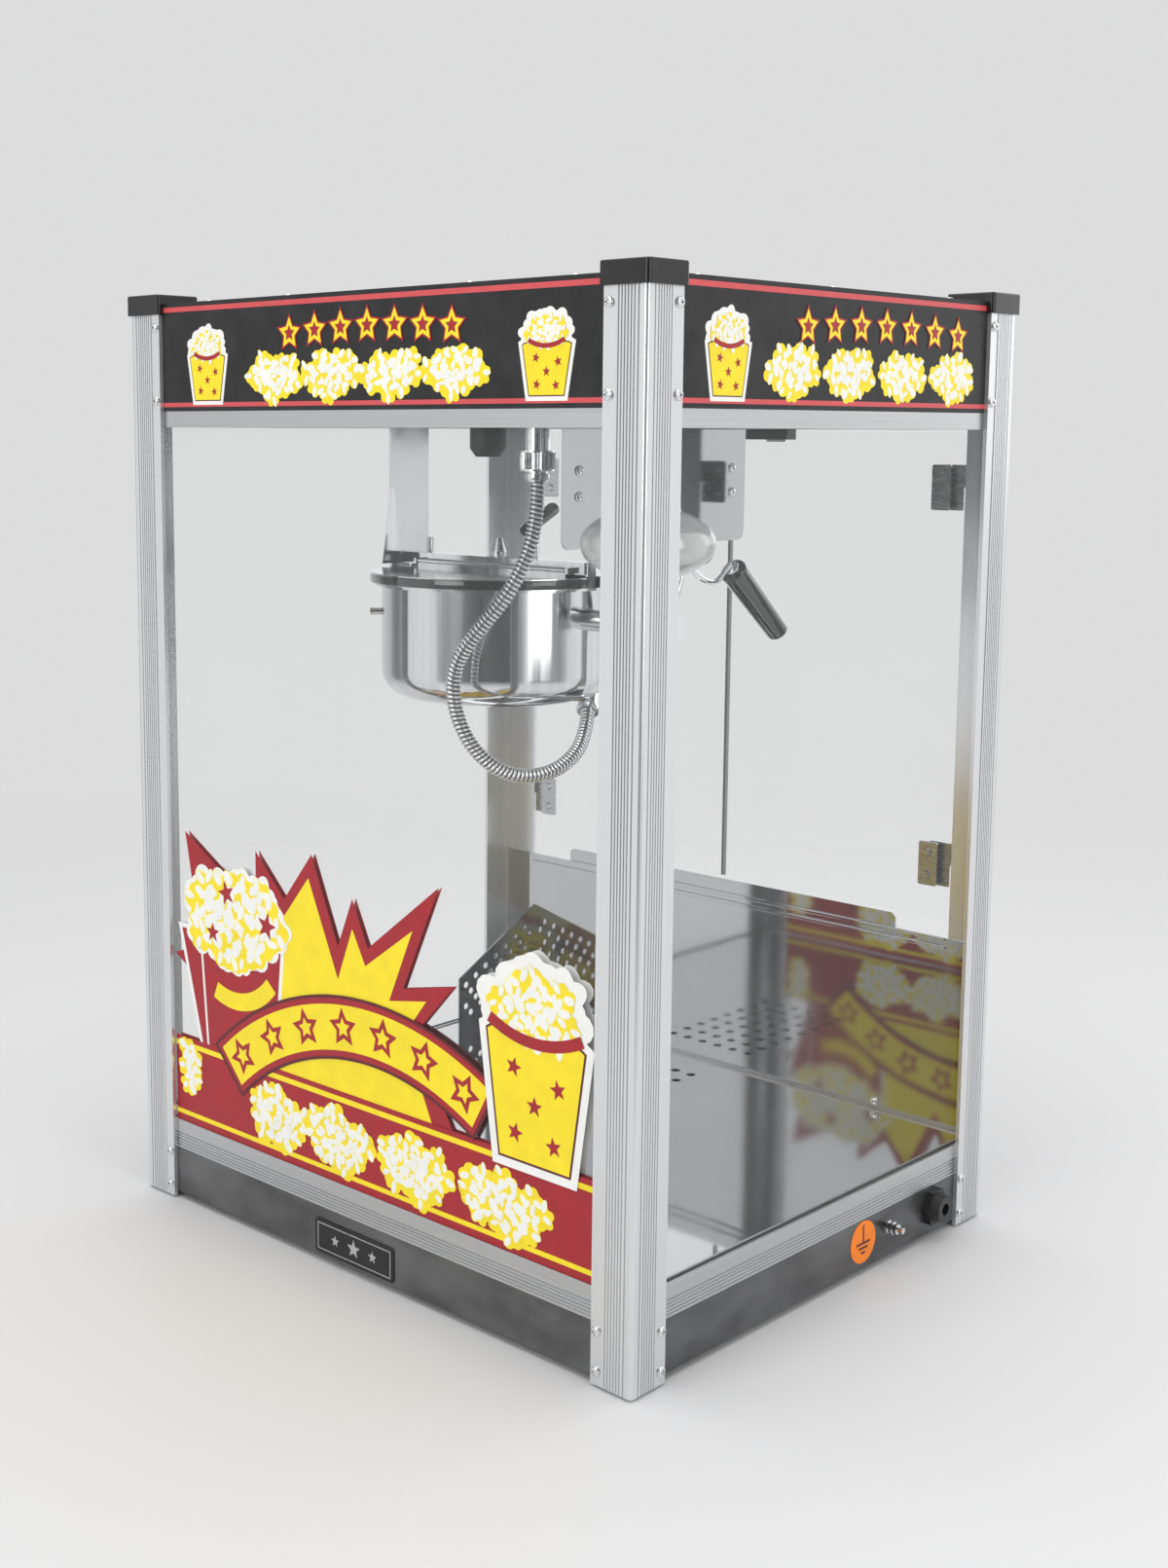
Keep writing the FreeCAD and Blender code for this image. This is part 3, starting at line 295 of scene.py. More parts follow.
# ---- the flexible conduit ----
CONDUIT_ROUTE = [
    (0.062, -0.100, 0.631),
    (0.062, -0.100, 0.604),
    (0.061, -0.110, 0.572),
    (0.050, -0.122, 0.541),
    (0.031, -0.132, 0.516),
    (0.009, -0.139, 0.486),
    (0.005, -0.135, 0.450),
    (0.015, -0.122, 0.415),
    (0.031, -0.097, 0.394),
    (0.043, -0.064, 0.393),
    (0.044, -0.033, 0.404),
    (0.035, -0.009, 0.420),
    (0.026, 0.004, 0.436),
]
CONDUIT_RADIUS = 0.0062
CONDUIT_PITCH = 0.0036      # one turn of the wound strip
CONDUIT_SIDES = 24
GROOVE_START = 0.68         # share of a turn where its groove begins
GROOVE_DEPTH = 0.80         # radius in the groove, as a share of the crest's
CREST_FULLNESS = 0.7        # a power below 1 makes the crest's arch broader than a plain sine
STEPS_PER_TURN = 10
ROUTE_RESOLUTION = 24       # points of the curve for each point of the route


def spline_points(route, resolution):
    """Points along the smooth curve that has the route as its control points."""
    data = bpy.data.curves.new("route", "CURVE")
    data.dimensions = "3D"
    data.resolution_u = resolution
    spline = data.splines.new("NURBS")
    spline.points.add(len(route) - 1)
    for knot, point in zip(spline.points, route):
        knot.co = (*point, 1.0)
    spline.order_u = 3
    spline.use_endpoint_u = True
    holder = bpy.data.objects.new("route", data)
    bpy.context.scene.collection.objects.link(holder)
    mesh = bpy.data.meshes.new_from_object(holder)
    points = [v.co.copy() for v in mesh.vertices]
    bpy.data.objects.remove(holder)
    return points


def evenly(points, step):
    """The same line, with points a step apart."""
    result = [points[0].copy()]
    spare = 0.0
    for a, b in zip(points, points[1:]):
        length = (b - a).length
        at = step - spare
        while at <= length:
            result.append(a.lerp(b, at / length))
            at += step
        spare = length - (at - step)
    return result + [points[-1].copy()]


def strip_turn(distance, around):
    """How far through one turn of its winding the strip is there, from 0 to 1."""
    return (distance / CONDUIT_PITCH + around) % 1.0


def conduit_radius(distance, around):
    """The wound strip's crest is a round arch, and the groove beside it is flat."""
    turn = strip_turn(distance, around)
    if turn > GROOVE_START:
        return CONDUIT_RADIUS * GROOVE_DEPTH
    arch = math.sin(math.pi * turn / GROOVE_START) ** CREST_FULLNESS
    return CONDUIT_RADIUS * (GROOVE_DEPTH + (1 - GROOVE_DEPTH) * arch)


def make_conduit():
    """The wound steel hose from the ceiling fitting to the kettle's gland."""
    line = spline_points(CONDUIT_ROUTE, ROUTE_RESOLUTION)
    step = CONDUIT_PITCH / STEPS_PER_TURN
    bm = tube_along(evenly(line, step), conduit_radius, CONDUIT_SIDES)
    mesh = finish_mesh(bm, "conduit_hose", smooth=True)
    hose = new_piece("conduit_hose", mesh, "hose_steel", None)
    # The groove faces get the near-black steel: painted shade in the hose's recesses.
    mesh.materials.append(LOOKS["painted_groove_shade"])
    for face in mesh.polygons:
        ring, side = divmod(face.index, CONDUIT_SIDES)
        if strip_turn((ring + 0.5) * step, (side + 0.5) / CONDUIT_SIDES) > GROOVE_START:
            face.material_index = 1
    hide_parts("conduit")
    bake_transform(hose)


# ---- printed artwork: flat outlines in a plane's own two directions ----
INK = 0.0001                # thickness of one printed colour
INK_STEP = 0.0000015        # how far one outline of a colour stands above the one before
INK_STEPS = 60              # outlines before the lift starts again
FRONT_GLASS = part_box("glass_front")
FRONT_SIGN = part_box("sign_front")
RIGHT_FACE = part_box("side_signs")[1].x


def on_glass_outside(u, v, w):
    return Vector((u, FRONT_GLASS[0].y - w, v))


def on_glass_inside(u, v, w):
    return Vector((u, FRONT_GLASS[1].y + w, v))


def on_front_sign(u, v, w):
    return Vector((u, FRONT_SIGN[0].y - w, v))


def on_right_sign(u, v, w):
    return Vector((RIGHT_FACE + w, u, v))


def on_left_sign(u, v, w):
    return Vector((-RIGHT_FACE - w, -u, v))


def printed(name, plane, layer, outlines, ink):
    """One colour of a print. Each layer lies on the one below it."""
    bm = bmesh.new()
    for count, outline in enumerate(outlines):
        lift = INK_STEP * (1 + count % INK_STEPS)
        low = [bm.verts.new(plane(u, v, INK * layer + lift)) for u, v in outline]
        high = [bm.verts.new(plane(u, v, INK * (layer + 1) + lift)) for u, v in outline]
        faces = [bm.faces.new(low), bm.faces.new(high)]
        for i in range(len(low)):
            j = (i + 1) % len(low)
            bm.faces.new((low[i], low[j], high[j], high[i]))
        bm.normal_update()
        bmesh.ops.triangulate(bm, faces=faces)
    return new_piece(name, finish_mesh(bm, name), ink, "cabinet")


def moved(points, at=(0.0, 0.0), size=1.0, turn=0.0):
    """The outline scaled, turned and set at a place."""
    c, s = math.cos(turn) * size, math.sin(turn) * size
    return [(at[0] + u * c - v * s, at[1] + u * s + v * c) for u, v in points]


def star(at, radius, turn=0.0, waist=0.42):
    """A five-pointed star; waist is its inner corners' share of the radius."""
    points = []
    for i in range(10):
        reach = radius if i % 2 == 0 else radius * waist
        a = math.pi / 2 + turn + math.pi * i / 5
        points.append((at[0] + reach * math.cos(a), at[1] + reach * math.sin(a)))
    return points


def area_of(points):
    """The outline's area, negative where it runs clockwise."""
    return sum(a[0] * b[1] - b[0] * a[1] for a, b in zip(points, points[1:] + points[:1])) / 2


def grown(points, by):
    """The outline with each side moved outwards, or inwards where by is negative."""
    if area_of(points) < 0:
        points = points[::-1]
    result = []
    for before, here, after in zip(points[-1:] + points[:-1], points, points[1:] + points[:1]):
        a = (Vector(here) - Vector(before)).normalized()
        b = (Vector(after) - Vector(here)).normalized()
        out = Vector((a.y, -a.x)) + Vector((b.y, -b.x))
        out /= max(0.25, out.length_squared / 2)
        result.append((here[0] + out.x * by, here[1] + out.y * by))
    return result


def popped(at, size, rng):
    """The outline of one popped kernel: four to six soft lobes round a centre."""
    lobes = rng.choice((4, 5, 6))
    phase = rng.uniform(0, 2 * math.pi)
    points = []
    for i in range(lobes * 6):
        a = 2 * math.pi * i / (lobes * 6)
        reach = size * (0.74 + 0.26 * abs(math.sin(a * lobes / 2 + phase)))
        points.append((at[0] + reach * math.cos(a + phase), at[1] + 0.9 * reach * math.sin(a + phase)))
    return points


def heap(centre, half_wide, half_tall, size, count, rng):
    """Places of kernels that fill an oval, a little jumbled."""
    places = []
    for i in range(count):
        reach = math.sqrt((i + 0.5) / count)
        a = i * math.pi * (3 - math.sqrt(5))
        u = centre[0] + half_wide * reach * math.cos(a) + rng.uniform(-0.2, 0.2) * size
        v = centre[1] + half_tall * reach * math.sin(a) + rng.uniform(-0.2, 0.2) * size
        places.append((u, v))
    return places


def oval(at, long, wide, turn):
    """A twelve-sided oval, long and wide being its two half widths."""
    points = []
    for i in range(12):
        a = math.pi * i / 6
        points.append((long * math.cos(a), wide * math.sin(a)))
    return moved(points, at, 1.0, turn)


def print_popcorn(name, plane, layer, places, size, rng):
    """Kernels in three inks: yellow beneath, then cream and white lobes that fan out from each middle."""
    shade, cream, white = [], [], []
    for u, v in places:
        shade.append(popped((u, v - 0.08 * size), size * 0.98, rng))
        turn = rng.uniform(0, 2 * math.pi)
        for k in range(3):
            a = turn + 2 * math.pi * k / 3 + rng.uniform(-0.4, 0.4)
            reach = size * rng.uniform(0.40, 0.66)
            lobe = (u + reach * math.cos(a), v + reach * math.sin(a))
            long = size * rng.uniform(0.28, 0.42)
            wide = long * rng.uniform(0.42, 0.66)
            cream.append(oval(lobe, long * 1.15, wide * 1.30, a))
            white.append(oval(lobe, long, wide, a))
    printed(name + "_shade", plane, layer, shade, "ink_yellow")
    printed(name + "_cream", plane, layer + 1, cream, "ink_cream")
    printed(name + "_white", plane, layer + 2, white, "ink_white")


def tub(at, wide, tall, flare=0.72):
    """The outline of a popcorn tub: wider at its top, with a bowed rim."""
    half = wide / 2
    angles = [math.pi * i / 8 for i in range(9)]
    rim = [(half * math.cos(a), tall * (0.94 + 0.06 * math.sin(a))) for a in angles]
    points = [(-half * flare, 0.0), (half * flare, 0.0)] + rim
    return moved(points, at)


def arc_band(centre, radius, half_tall, start, end, steps=28):
    """A curved ribbon, from one angle to another."""
    outer, inner = [], []
    for i in range(steps + 1):
        a = start + (end - start) * i / steps
        across, up = math.cos(a), math.sin(a)
        outer.append((centre[0] + (radius + half_tall) * across, centre[1] + (radius + half_tall) * up))
        inner.append((centre[0] + (radius - half_tall) * across, centre[1] + (radius - half_tall) * up))
    return outer + inner[::-1]


BURST = [
    (-0.225, 0.331), (-0.171, 0.301), (-0.131, 0.270), (-0.131, 0.328), (-0.095, 0.294), (-0.061, 0.336),
    (-0.030, 0.267), (-0.013, 0.308), (0.005, 0.272), (0.083, 0.333), (0.045, 0.248), (0.099, 0.260),
    (0.058, 0.215), (0.110, 0.130), (-0.180, 0.120), (-0.205, 0.200), (-0.241, 0.222), (-0.205, 0.235),
]
BURST_HEART = [
    (-0.123, 0.306), (-0.095, 0.280), (-0.065, 0.316), (-0.030, 0.240), (-0.013, 0.284), (0.002, 0.257),
    (0.055, 0.295), (0.029, 0.235), (0.070, 0.243), (0.046, 0.212), (0.085, 0.130), (-0.123, 0.130),
]
CARTON = [(-0.194, 0.112), (-0.112, 0.125), (-0.100, 0.247), (-0.231, 0.246)]
CARTON_FOLD = [(-0.1925, 0.112), (-0.2035, 0.240), (-0.2060, 0.240), (-0.1950, 0.112)]
BAND = (0.0725, 0.149)      # z of the red band along the foot of the glass
GLASS_SEEN = 0.2415         # half of the glass's width between the posts
RIBBON_CENTRE = (0.008, -0.052)
RIBBON_RADIUS = 0.256
RIBBON_START, RIBBON_END = math.radians(133), math.radians(61)
STAR_COUNT = 7              # on the ribbon, and on each sign
STAR_WAIST = 0.5

# The lowest layer of each picture on the glass. A picture's own colours count up from it.
BURST_LAYER = 0
CARTON_LAYER = 2
HEAP_LAYER = 4
BAND_LAYER = 5
RIBBON_LAYER = 10
TUB_LAYER = 15


def rectangle(u, v):
    """An upright rectangle between two values of u and two of v."""
    return [(u[0], v[0]), (u[1], v[0]), (u[1], v[1]), (u[0], v[1])]


def print_burst(tag, plane):
    """A red burst with a yellow heart."""
    printed(tag + "_burst_red", plane, BURST_LAYER, [BURST], "ink_red")
    printed(tag + "_burst_yellow", plane, BURST_LAYER + 1, [BURST_HEART], "ink_yellow")


def print_carton(tag, plane, rng):
    """A red carton with a white fold and a curved yellow stripe, heaped with popcorn and three stars."""
    printed(tag + "_carton_edge", plane, CARTON_LAYER, [grown(CARTON, 0.004)], "ink_white")
    printed(tag + "_carton", plane, CARTON_LAYER + 1, [CARTON], "ink_red")
    printed(tag + "_carton_fold", plane, CARTON_LAYER + 2, [CARTON_FOLD], "ink_white")
    stripe = arc_band((-0.1606, 0.258), 0.063, 0.0075, math.radians(247), math.radians(320), 14)
    printed(tag + "_carton_stripe", plane, CARTON_LAYER + 2, [stripe], "ink_yellow")
    top = heap((-0.160, 0.266), 0.056, 0.033, 0.018, 38, rng)
    printed(tag + "_heap_edge", plane, HEAP_LAYER, [popped(p, 0.020, rng) for p in top], "ink_white")
    print_popcorn(tag + "_heap", plane, HEAP_LAYER + 1, top, 0.0165, rng)
    stars = []
    for at, radius, turn in (((-0.169, 0.286), 0.011, 0.3), ((-0.188, 0.249), 0.009, 0.0),
                             ((-0.117, 0.267), 0.012, -0.2)):
        stars.append(star(at, radius, turn))
    printed(tag + "_heap_stars", plane, HEAP_LAYER + 4, stars, "ink_red")


def print_band(tag, plane, rng):
    """The red band with its two stripes, four heaps of popcorn and half of a fifth."""
    wide = (-GLASS_SEEN, GLASS_SEEN)
    printed(tag + "_band", plane, BAND_LAYER, [rectangle(wide, BAND)], "ink_red")
    stripes = [
        rectangle(wide, (BAND[1] - 0.0090, BAND[1] - 0.0045)),
        rectangle(wide, (BAND[0] + 0.006, BAND[0] + 0.0100)),
    ]
    printed(tag + "_band_stripes", plane, BAND_LAYER + 1, stripes, "ink_yellow")
    places = []
    for u, half_wide in ((-0.104, 0.032), (-0.030, 0.034), (0.056, 0.037), (0.152, 0.042)):
        places += heap((u, 0.108), half_wide, 0.021, 0.012, 24, rng)
    places += heap((-0.222, 0.124), 0.009, 0.018, 0.012, 8, rng)
    print_popcorn(tag + "_band_corn", plane, BAND_LAYER + 2, places, 0.0125, rng)


def print_ribbon(tag, plane):
    """An arched ribbon of outlined stars, in three inks that each reach a little less far."""
    inks = (("edge", 0.026, 0.012, "ink_dark"), ("red", 0.0235, 0.0, "ink_red"),
            ("yellow", 0.0185, -0.015, "ink_yellow"))
    for i, (part, half_tall, beyond, ink) in enumerate(inks):
        band = arc_band(RIBBON_CENTRE, RIBBON_RADIUS, half_tall, RIBBON_START + beyond, RIBBON_END - beyond)
        printed("%s_ribbon_%s" % (tag, part), plane, RIBBON_LAYER + i, [band], ink)
    outer, inner = [], []
    for i in range(STAR_COUNT):
        a = RIBBON_START + (RIBBON_END - RIBBON_START) * (i + 0.5) / STAR_COUNT
        across, up = RIBBON_RADIUS * math.cos(a), RIBBON_RADIUS * math.sin(a)
        at = (RIBBON_CENTRE[0] + across, RIBBON_CENTRE[1] + up)
        outer.append(star(at, 0.0165, a - math.pi / 2, STAR_WAIST))
        inner.append(star(at, 0.0085, a - math.pi / 2, STAR_WAIST))
    printed(tag + "_ribbon_stars", plane, RIBBON_LAYER + 3, outer, "ink_red")
    printed(tag + "_ribbon_hearts", plane, RIBBON_LAYER + 4, inner, "ink_yellow")


def make_glass_print(tag, plane):
    """The whole picture on the front glass, in one of its two planes."""
    rng = random.Random(4)
    print_burst(tag, plane)
    print_carton(tag, plane, rng)
    print_band(tag, plane, rng)
    print_ribbon(tag, plane)
    make_tub_print(tag + "_tub", plane, TUB_LAYER, (0.183, 0.146), 0.094, 0.098, rng)


def make_tub_print(name, plane, layer, at, wide, tall, rng):
    """A yellow tub with red stars, heaped with popcorn, inside a white border."""
    body = tub(at, wide, tall)
    top = (at[0], at[1] + tall * 1.16)
    places = heap(top, wide * 0.37, tall * 0.23, wide * 0.16, 20, rng)
    border = [grown(body, wide * 0.09)] + [popped(p, wide * 0.27, rng) for p in places]
    printed(name + "_border", plane, layer, border, "ink_white")
    printed(name + "_outline", plane, layer + 1, [grown(body, wide * 0.02)], "ink_dark")
    printed(name + "_body", plane, layer + 2, [body], "ink_yellow")
    stars = []
    for across, up in ((-0.22, 0.70), (0.24, 0.62), (0.0, 0.44), (-0.2, 0.2), (0.2, 0.18)):
        stars.append(star((at[0] + across * wide, at[1] + up * tall), wide * 0.085, across))
    printed(name + "_stars", plane, layer + 3, stars, "ink_red")
    print_popcorn(name + "_corn", plane, layer + 3, places, wide * 0.15, rng)
    rim_centre = (at[0], at[1] + tall * 1.9)
    rim = arc_band(rim_centre, tall * 0.98, tall * 0.045, math.radians(242), math.radians(298), 12)
    printed(name + "_rim", plane, layer + 6, [rim], "ink_red")


SIGN_HEAPS = 4


def make_sign_print(tag, plane, half_wide, tubs, corn, ribbon):
    """A sign's artwork: two red lines, tubs, a row of popcorn and a row of stars above it.
    corn and ribbon say where the two rows begin and end across the sign."""
    rng = random.Random(11)
    low, high = FRONT_SIGN[0].z, FRONT_SIGN[1].z
    wide = (-half_wide, half_wide)
    lines = [
        rectangle(wide, (high - 0.0075, high - 0.0035)),
        rectangle(wide, (low + 0.0035, low + 0.0070)),
    ]
    printed(tag + "_lines", plane, 0, lines, "ink_bright")
    for i, u in enumerate(tubs):
        make_tub_print("%s_tub_%d" % (tag, i + 1), plane, 1, (u, low + 0.009), 0.044, 0.036, rng)
    places = []
    for i in range(SIGN_HEAPS):
        u = corn[0] + (corn[1] - corn[0]) * (i + 0.5) / SIGN_HEAPS
        places += heap((u, low + 0.027), 0.027, 0.014, 0.009, 18, rng)
    print_popcorn(tag + "_corn", plane, 1, places, 0.0105, rng)
    outer, inner, hearts = [], [], []
    for i in range(STAR_COUNT):
        share = (i + 0.5) / STAR_COUNT
        u = ribbon[0] + (ribbon[1] - ribbon[0]) * share
        v = low + 0.058 + 0.004 * math.sin(math.pi * share)
        outer.append(star((u, v), 0.0155, 0.0, STAR_WAIST))
        inner.append(star((u, v), 0.0125, 0.0, STAR_WAIST))
        hearts.append(star((u, v), 0.0065, 0.0, STAR_WAIST))
    printed(tag + "_stars_red", plane, 4, outer, "ink_red")
    printed(tag + "_stars_yellow", plane, 5, inner, "ink_yellow")
    printed(tag + "_stars_hearts", plane, 6, hearts, "ink_red")


def make_prints():
    """The glass, printed on both faces, and the three signs."""
    make_glass_print("glass_print", on_glass_outside)
    make_glass_print("glass_back_print", on_glass_inside)
    front_rows = ((-0.182, 0.189), (-0.130, 0.135), (-0.094, 0.113))
    side_rows = ((-0.143,), (-0.102, 0.182), (-0.068, 0.168))
    make_sign_print("front_sign_print", on_front_sign, 0.2418, *front_rows)
    make_sign_print("right_sign_print", on_right_sign, 0.1958, *side_rows)
    make_sign_print("left_sign_print", on_left_sign, 0.1958, *side_rows)


# ---- small fittings ----
PANEL_SCREWS_X = (-0.175, 0.175)
PANEL_SCREW_RISE = 0.006                # above the deck
HANGER_SCREWS = ((-0.014, 0.622), (0.008, 0.630))
HANGER_THICKNESS = 0.003
BRACKET_SCREWS = ((-0.098, 0.640), (-0.098, 0.620), (0.094, 0.640), (0.094, 0.620))
BRACKET_FACE_X = 0.103
REAR_PANEL_SCREW_X, REAR_PANEL_SCREWS_Z = 0.232, (0.095, 0.156, 0.217)
COVER_SIDE_X, COVER_SIDE_SCREWS_Y = 0.262, (-0.16, 0.0, 0.16)
COVER_END_Y, COVER_END_SCREWS_X = 0.214, (0.10, 0.20)
DRAWER_SCREW_X, DRAWER_SCREW_Z = 0.118, 0.0275
DRAWER_PULL = 0.0075                    # from the edge of the drawer's pull in to the drawer's face
HINGES_LOW = (0.283, 0.605)             # foot of each hinge
HINGE_SCREW_RISES = (0.0075, 0.0305)
DOOR_LEAF_X, DOOR_LEAF_FACE = 0.2270, 0.2351
POST_LEAF_X, POST_LEAF_FACE = 0.2585, 0.2356
FRONT, REAR, UP, RIGHT = (0, -1, 0), (0, 1, 0), (0, 0, 1), (1, 0, 0)


def dome_screw(name, at, axis, radius, body):
    """A dome-headed screw with a socket in its head."""
    h = radius * 0.62
    profile = [(radius, 0.0), (radius, h * 0.25), (radius * 0.92, h * 0.55), (radius * 0.72, h * 0.85),
               (radius * 0.45, h), (radius * 0.30, h), (radius * 0.28, h * 0.55),
               (radius * 0.05, h * 0.5)]
    return lathe(name, profile, at, axis, "chrome", body, 20)


def make_cabinet_fittings():
    """Screws inside the cabinet, and the lamp's collar."""
    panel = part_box("rear_panel")
    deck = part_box("deck")
    for i, x in enumerate(PANEL_SCREWS_X):
        at = (x, panel[0].y, deck[1].z + PANEL_SCREW_RISE)
        dome_screw("panel_screw_%d" % (i + 1), at, FRONT, 0.0042, "cabinet")
    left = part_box("hanger_left")
    for i, (y, z) in enumerate(HANGER_SCREWS):
        at = (left[1].x - HANGER_THICKNESS, y, z)
        dome_screw("hanger_screw_%d" % (i + 1), at, RIGHT, 0.0040, "cabinet")
    for i, (y, z) in enumerate(BRACKET_SCREWS):
        dome_screw("bracket_screw_%d" % (i + 1), (BRACKET_FACE_X, y, z), RIGHT, 0.0040, "cabinet")
    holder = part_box("lamp_holder")
    middle = (holder[0] + holder[1]) / 2
    lathe("lamp_collar", [(0.0195, 0), (0.0205, 0.001), (0.0205, 0.006), (0.0195, 0.007)],
          (middle.x, middle.y, holder[0].z + 0.001), UP, "chrome", "cabinet")


def make_rear_fittings():
    """Screws of the rear panel, the top cover, the drawer's front and the door hinges."""
    panel, cover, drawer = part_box("rear_panel"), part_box("top_cover"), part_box("crumb_drawer")
    for side, tag in ((-1, "left"), (1, "right")):
        for i, z in enumerate(REAR_PANEL_SCREWS_Z):
            at = (side * REAR_PANEL_SCREW_X, panel[1].y, z)
            dome_screw("rear_panel_screw_%s_%d" % (tag, i + 1), at, REAR, 0.0036, "cabinet")
        for i, y in enumerate(COVER_SIDE_SCREWS_Y):
            at = (side * COVER_SIDE_X, y, cover[1].z)
            dome_screw("cover_screw_%s_%d" % (tag, i + 1), at, UP, 0.0036, "cabinet")
        for i, x in enumerate(COVER_END_SCREWS_X):
            for end, y in (("end", COVER_END_Y), ("front", -COVER_END_Y)):
                at = (side * x, y, cover[1].z)
                dome_screw("cover_screw_%s_%s_%d" % (end, tag, i + 1), at, UP, 0.0036, "cabinet")
        at = (side * DRAWER_SCREW_X, drawer[1].y - DRAWER_PULL, DRAWER_SCREW_Z)
        dome_screw("drawer_screw_" + tag, at, REAR, 0.0032, "drawer")
        for k, low in enumerate(HINGES_LOW):
            for i, rise in enumerate(HINGE_SCREW_RISES):
                name = "%s_%d_%d" % (tag, k + 1, i + 1)
                on_door = (side * DOOR_LEAF_X, DOOR_LEAF_FACE, low + rise)
                on_post = (side * POST_LEAF_X, POST_LEAF_FACE, low + rise)
                dome_screw("door_hinge_screw_" + name, on_door, REAR, 0.0027, tag + "_door")
                dome_screw("post_hinge_screw_" + name, on_post, REAR, 0.0027, "cabinet")


MARKS_Z = 0.7575            # middle of the signs over the rockers
WAVE_POINTS = 16


def make_switch_marks():
    """A plain sign over each rocker: three waves for heat, a ring for the stirrer, a sun for the lamp."""
    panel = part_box("control_panel")

    def place(u, v, w):
        return Vector((-u, panel[1].y + w, v))

    heat = []
    for shift in (-0.0042, 0.0, 0.0042):
        right = []
        for i in range(WAVE_POINTS + 1):
            sway = 0.0011 * math.sin(4 * math.pi * i / WAVE_POINTS)
            right.append((shift + 0.0006 + sway, MARKS_Z - 0.006 + 0.012 * i / WAVE_POINTS))
        heat.append(right + [(u - 0.0012, v) for u, v in right[::-1]])
    ring = arc_band((0.0, MARKS_Z), 0.0054, 0.0007, math.radians(60), math.radians(390), 26)
    arrow = [(0.0030, MARKS_Z + 0.0050), (0.0078, MARKS_Z + 0.0058), (0.0046, MARKS_Z + 0.0092)]
    angles = [2 * math.pi * i / 20 for i in range(20)]
    disc = [(0.0030 * math.cos(a), MARKS_Z + 0.0030 * math.sin(a)) for a in angles]
    rays = []
    for i in range(8):
        a = 2 * math.pi * i / 8
        rays.append(moved(rectangle((0.0042, 0.0070), (-0.0005, 0.0005)), (0.0, MARKS_Z), 1.0, a))
    marks = {"rocker_kettle": heat, "rocker_stirrer": [ring, arrow], "rocker_lamp": [disc] + rays}
    outlines = []
    for node, shapes in marks.items():
        low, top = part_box(node)
        outlines += [moved(shape, (-(low.x + top.x) / 2, 0.0)) for shape in shapes]
    printed("switch_marks", place, 0, outlines, "ink_white")


NUT_RIBS = 36
NUT_CREST, NUT_GROOVE = 0.0138, 0.0131  # radii
NUT_LOW, NUT_HIGH = 0.6405, 0.6535
CLAMP_LOW = 0.6315


def make_conduit_nut():
    """The knurled nut on the ceiling fitting, the clamp ring under it, and the ring at the kettle's end."""
    low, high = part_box("conduit_fitting")
    centre = (low + high) / 2
    bm = bmesh.new()
    outline = []
    for i in range(NUT_RIBS * 2):
        a = math.pi * i / NUT_RIBS
        reach = NUT_CREST if i % 2 else NUT_GROOVE
        outline.append((centre.x + reach * math.cos(a), centre.y + reach * math.sin(a)))
    rings = [[bm.verts.new((u, v, z)) for u, v in outline] for z in (NUT_LOW, NUT_HIGH)]
    for i in range(len(outline)):
        j = (i + 1) % len(outline)
        bm.faces.new((rings[0][i], rings[0][j], rings[1][j], rings[1][i]))
    bm.faces.new(rings[0])
    bm.faces.new(rings[1])
    mesh = finish_mesh(bm, "conduit_nut_knurl")
    new_piece("conduit_nut_knurl", mesh, "hose_steel", "cabinet")
    clamp = [(0.0075, 0.0), (0.0094, 0.0006), (0.0096, 0.003), (0.0094, 0.0054), (0.0075, 0.006)]
    at = (centre.x, centre.y, CLAMP_LOW)
    lathe("conduit_clamp", clamp, at, UP, "hose_steel", "cabinet", 28)
    end = Vector(CONDUIT_ROUTE[-1])
    along = (end - Vector(CONDUIT_ROUTE[-2])).normalized()
    ring = [(0.0066, 0.0), (0.0096, 0.0007), (0.0099, 0.003), (0.0096, 0.0053), (0.0066, 0.006)]
    lathe("conduit_gland_ring", ring, end + along * 0.0004, along, "hose_steel", "kettle", 28)


def make_label():
    """The earth symbol on the round label: a stem and three bars."""
    low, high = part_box("earth_label")
    centre = (low + high) / 2
    strokes = [rectangle((-0.0010, 0.0010), (-0.001, 0.0140))]
    for half, up in ((0.0095, -0.001), (0.0062, -0.0050), (0.0028, -0.0090)):
        strokes.append(rectangle((-half, half), (up - 0.0010, up + 0.0010)))

    def place(u, v, w):
        return Vector((high.x + w, centre.y + u, centre.z + v))

    printed("label_symbol", place, 0, strokes, "ink_dark")


PLATE_MARGIN = 0.003
PLATE_LINE = 0.0008


def make_name_plate():
    """A plate with no name: a silver line round it and three stars."""
    low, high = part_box("name_plate")
    centre = (low + high) / 2

    def place(u, v, w):
        return Vector((centre.x + u, low.y - w, centre.z + v))

    half_u, half_v = (high.x - low.x) / 2 - PLATE_MARGIN, (high.z - low.z) / 2 - PLATE_MARGIN
    lines = [
        rectangle((-half_u, half_u), (half_v - PLATE_LINE, half_v)),
        rectangle((-half_u, half_u), (-half_v, -half_v + PLATE_LINE)),
        rectangle((-half_u, -half_u + PLATE_LINE), (-half_v + PLATE_LINE, half_v - PLATE_LINE)),
        rectangle((half_u - PLATE_LINE, half_u), (-half_v + PLATE_LINE, half_v - PLATE_LINE)),
    ]
    stars = [star((u, 0.0), r) for u, r in ((-0.022, 0.005), (0.0, 0.0078), (0.022, 0.005))]
    printed("plate_lines", place, 0, lines + stars, "ink_silver")


LEVER_SLOPE = (0, 0.041, 0.021)
LEVER_LENGTH = 0.045
LEVER_STEM_TOP = 0.0385                 # above the foot


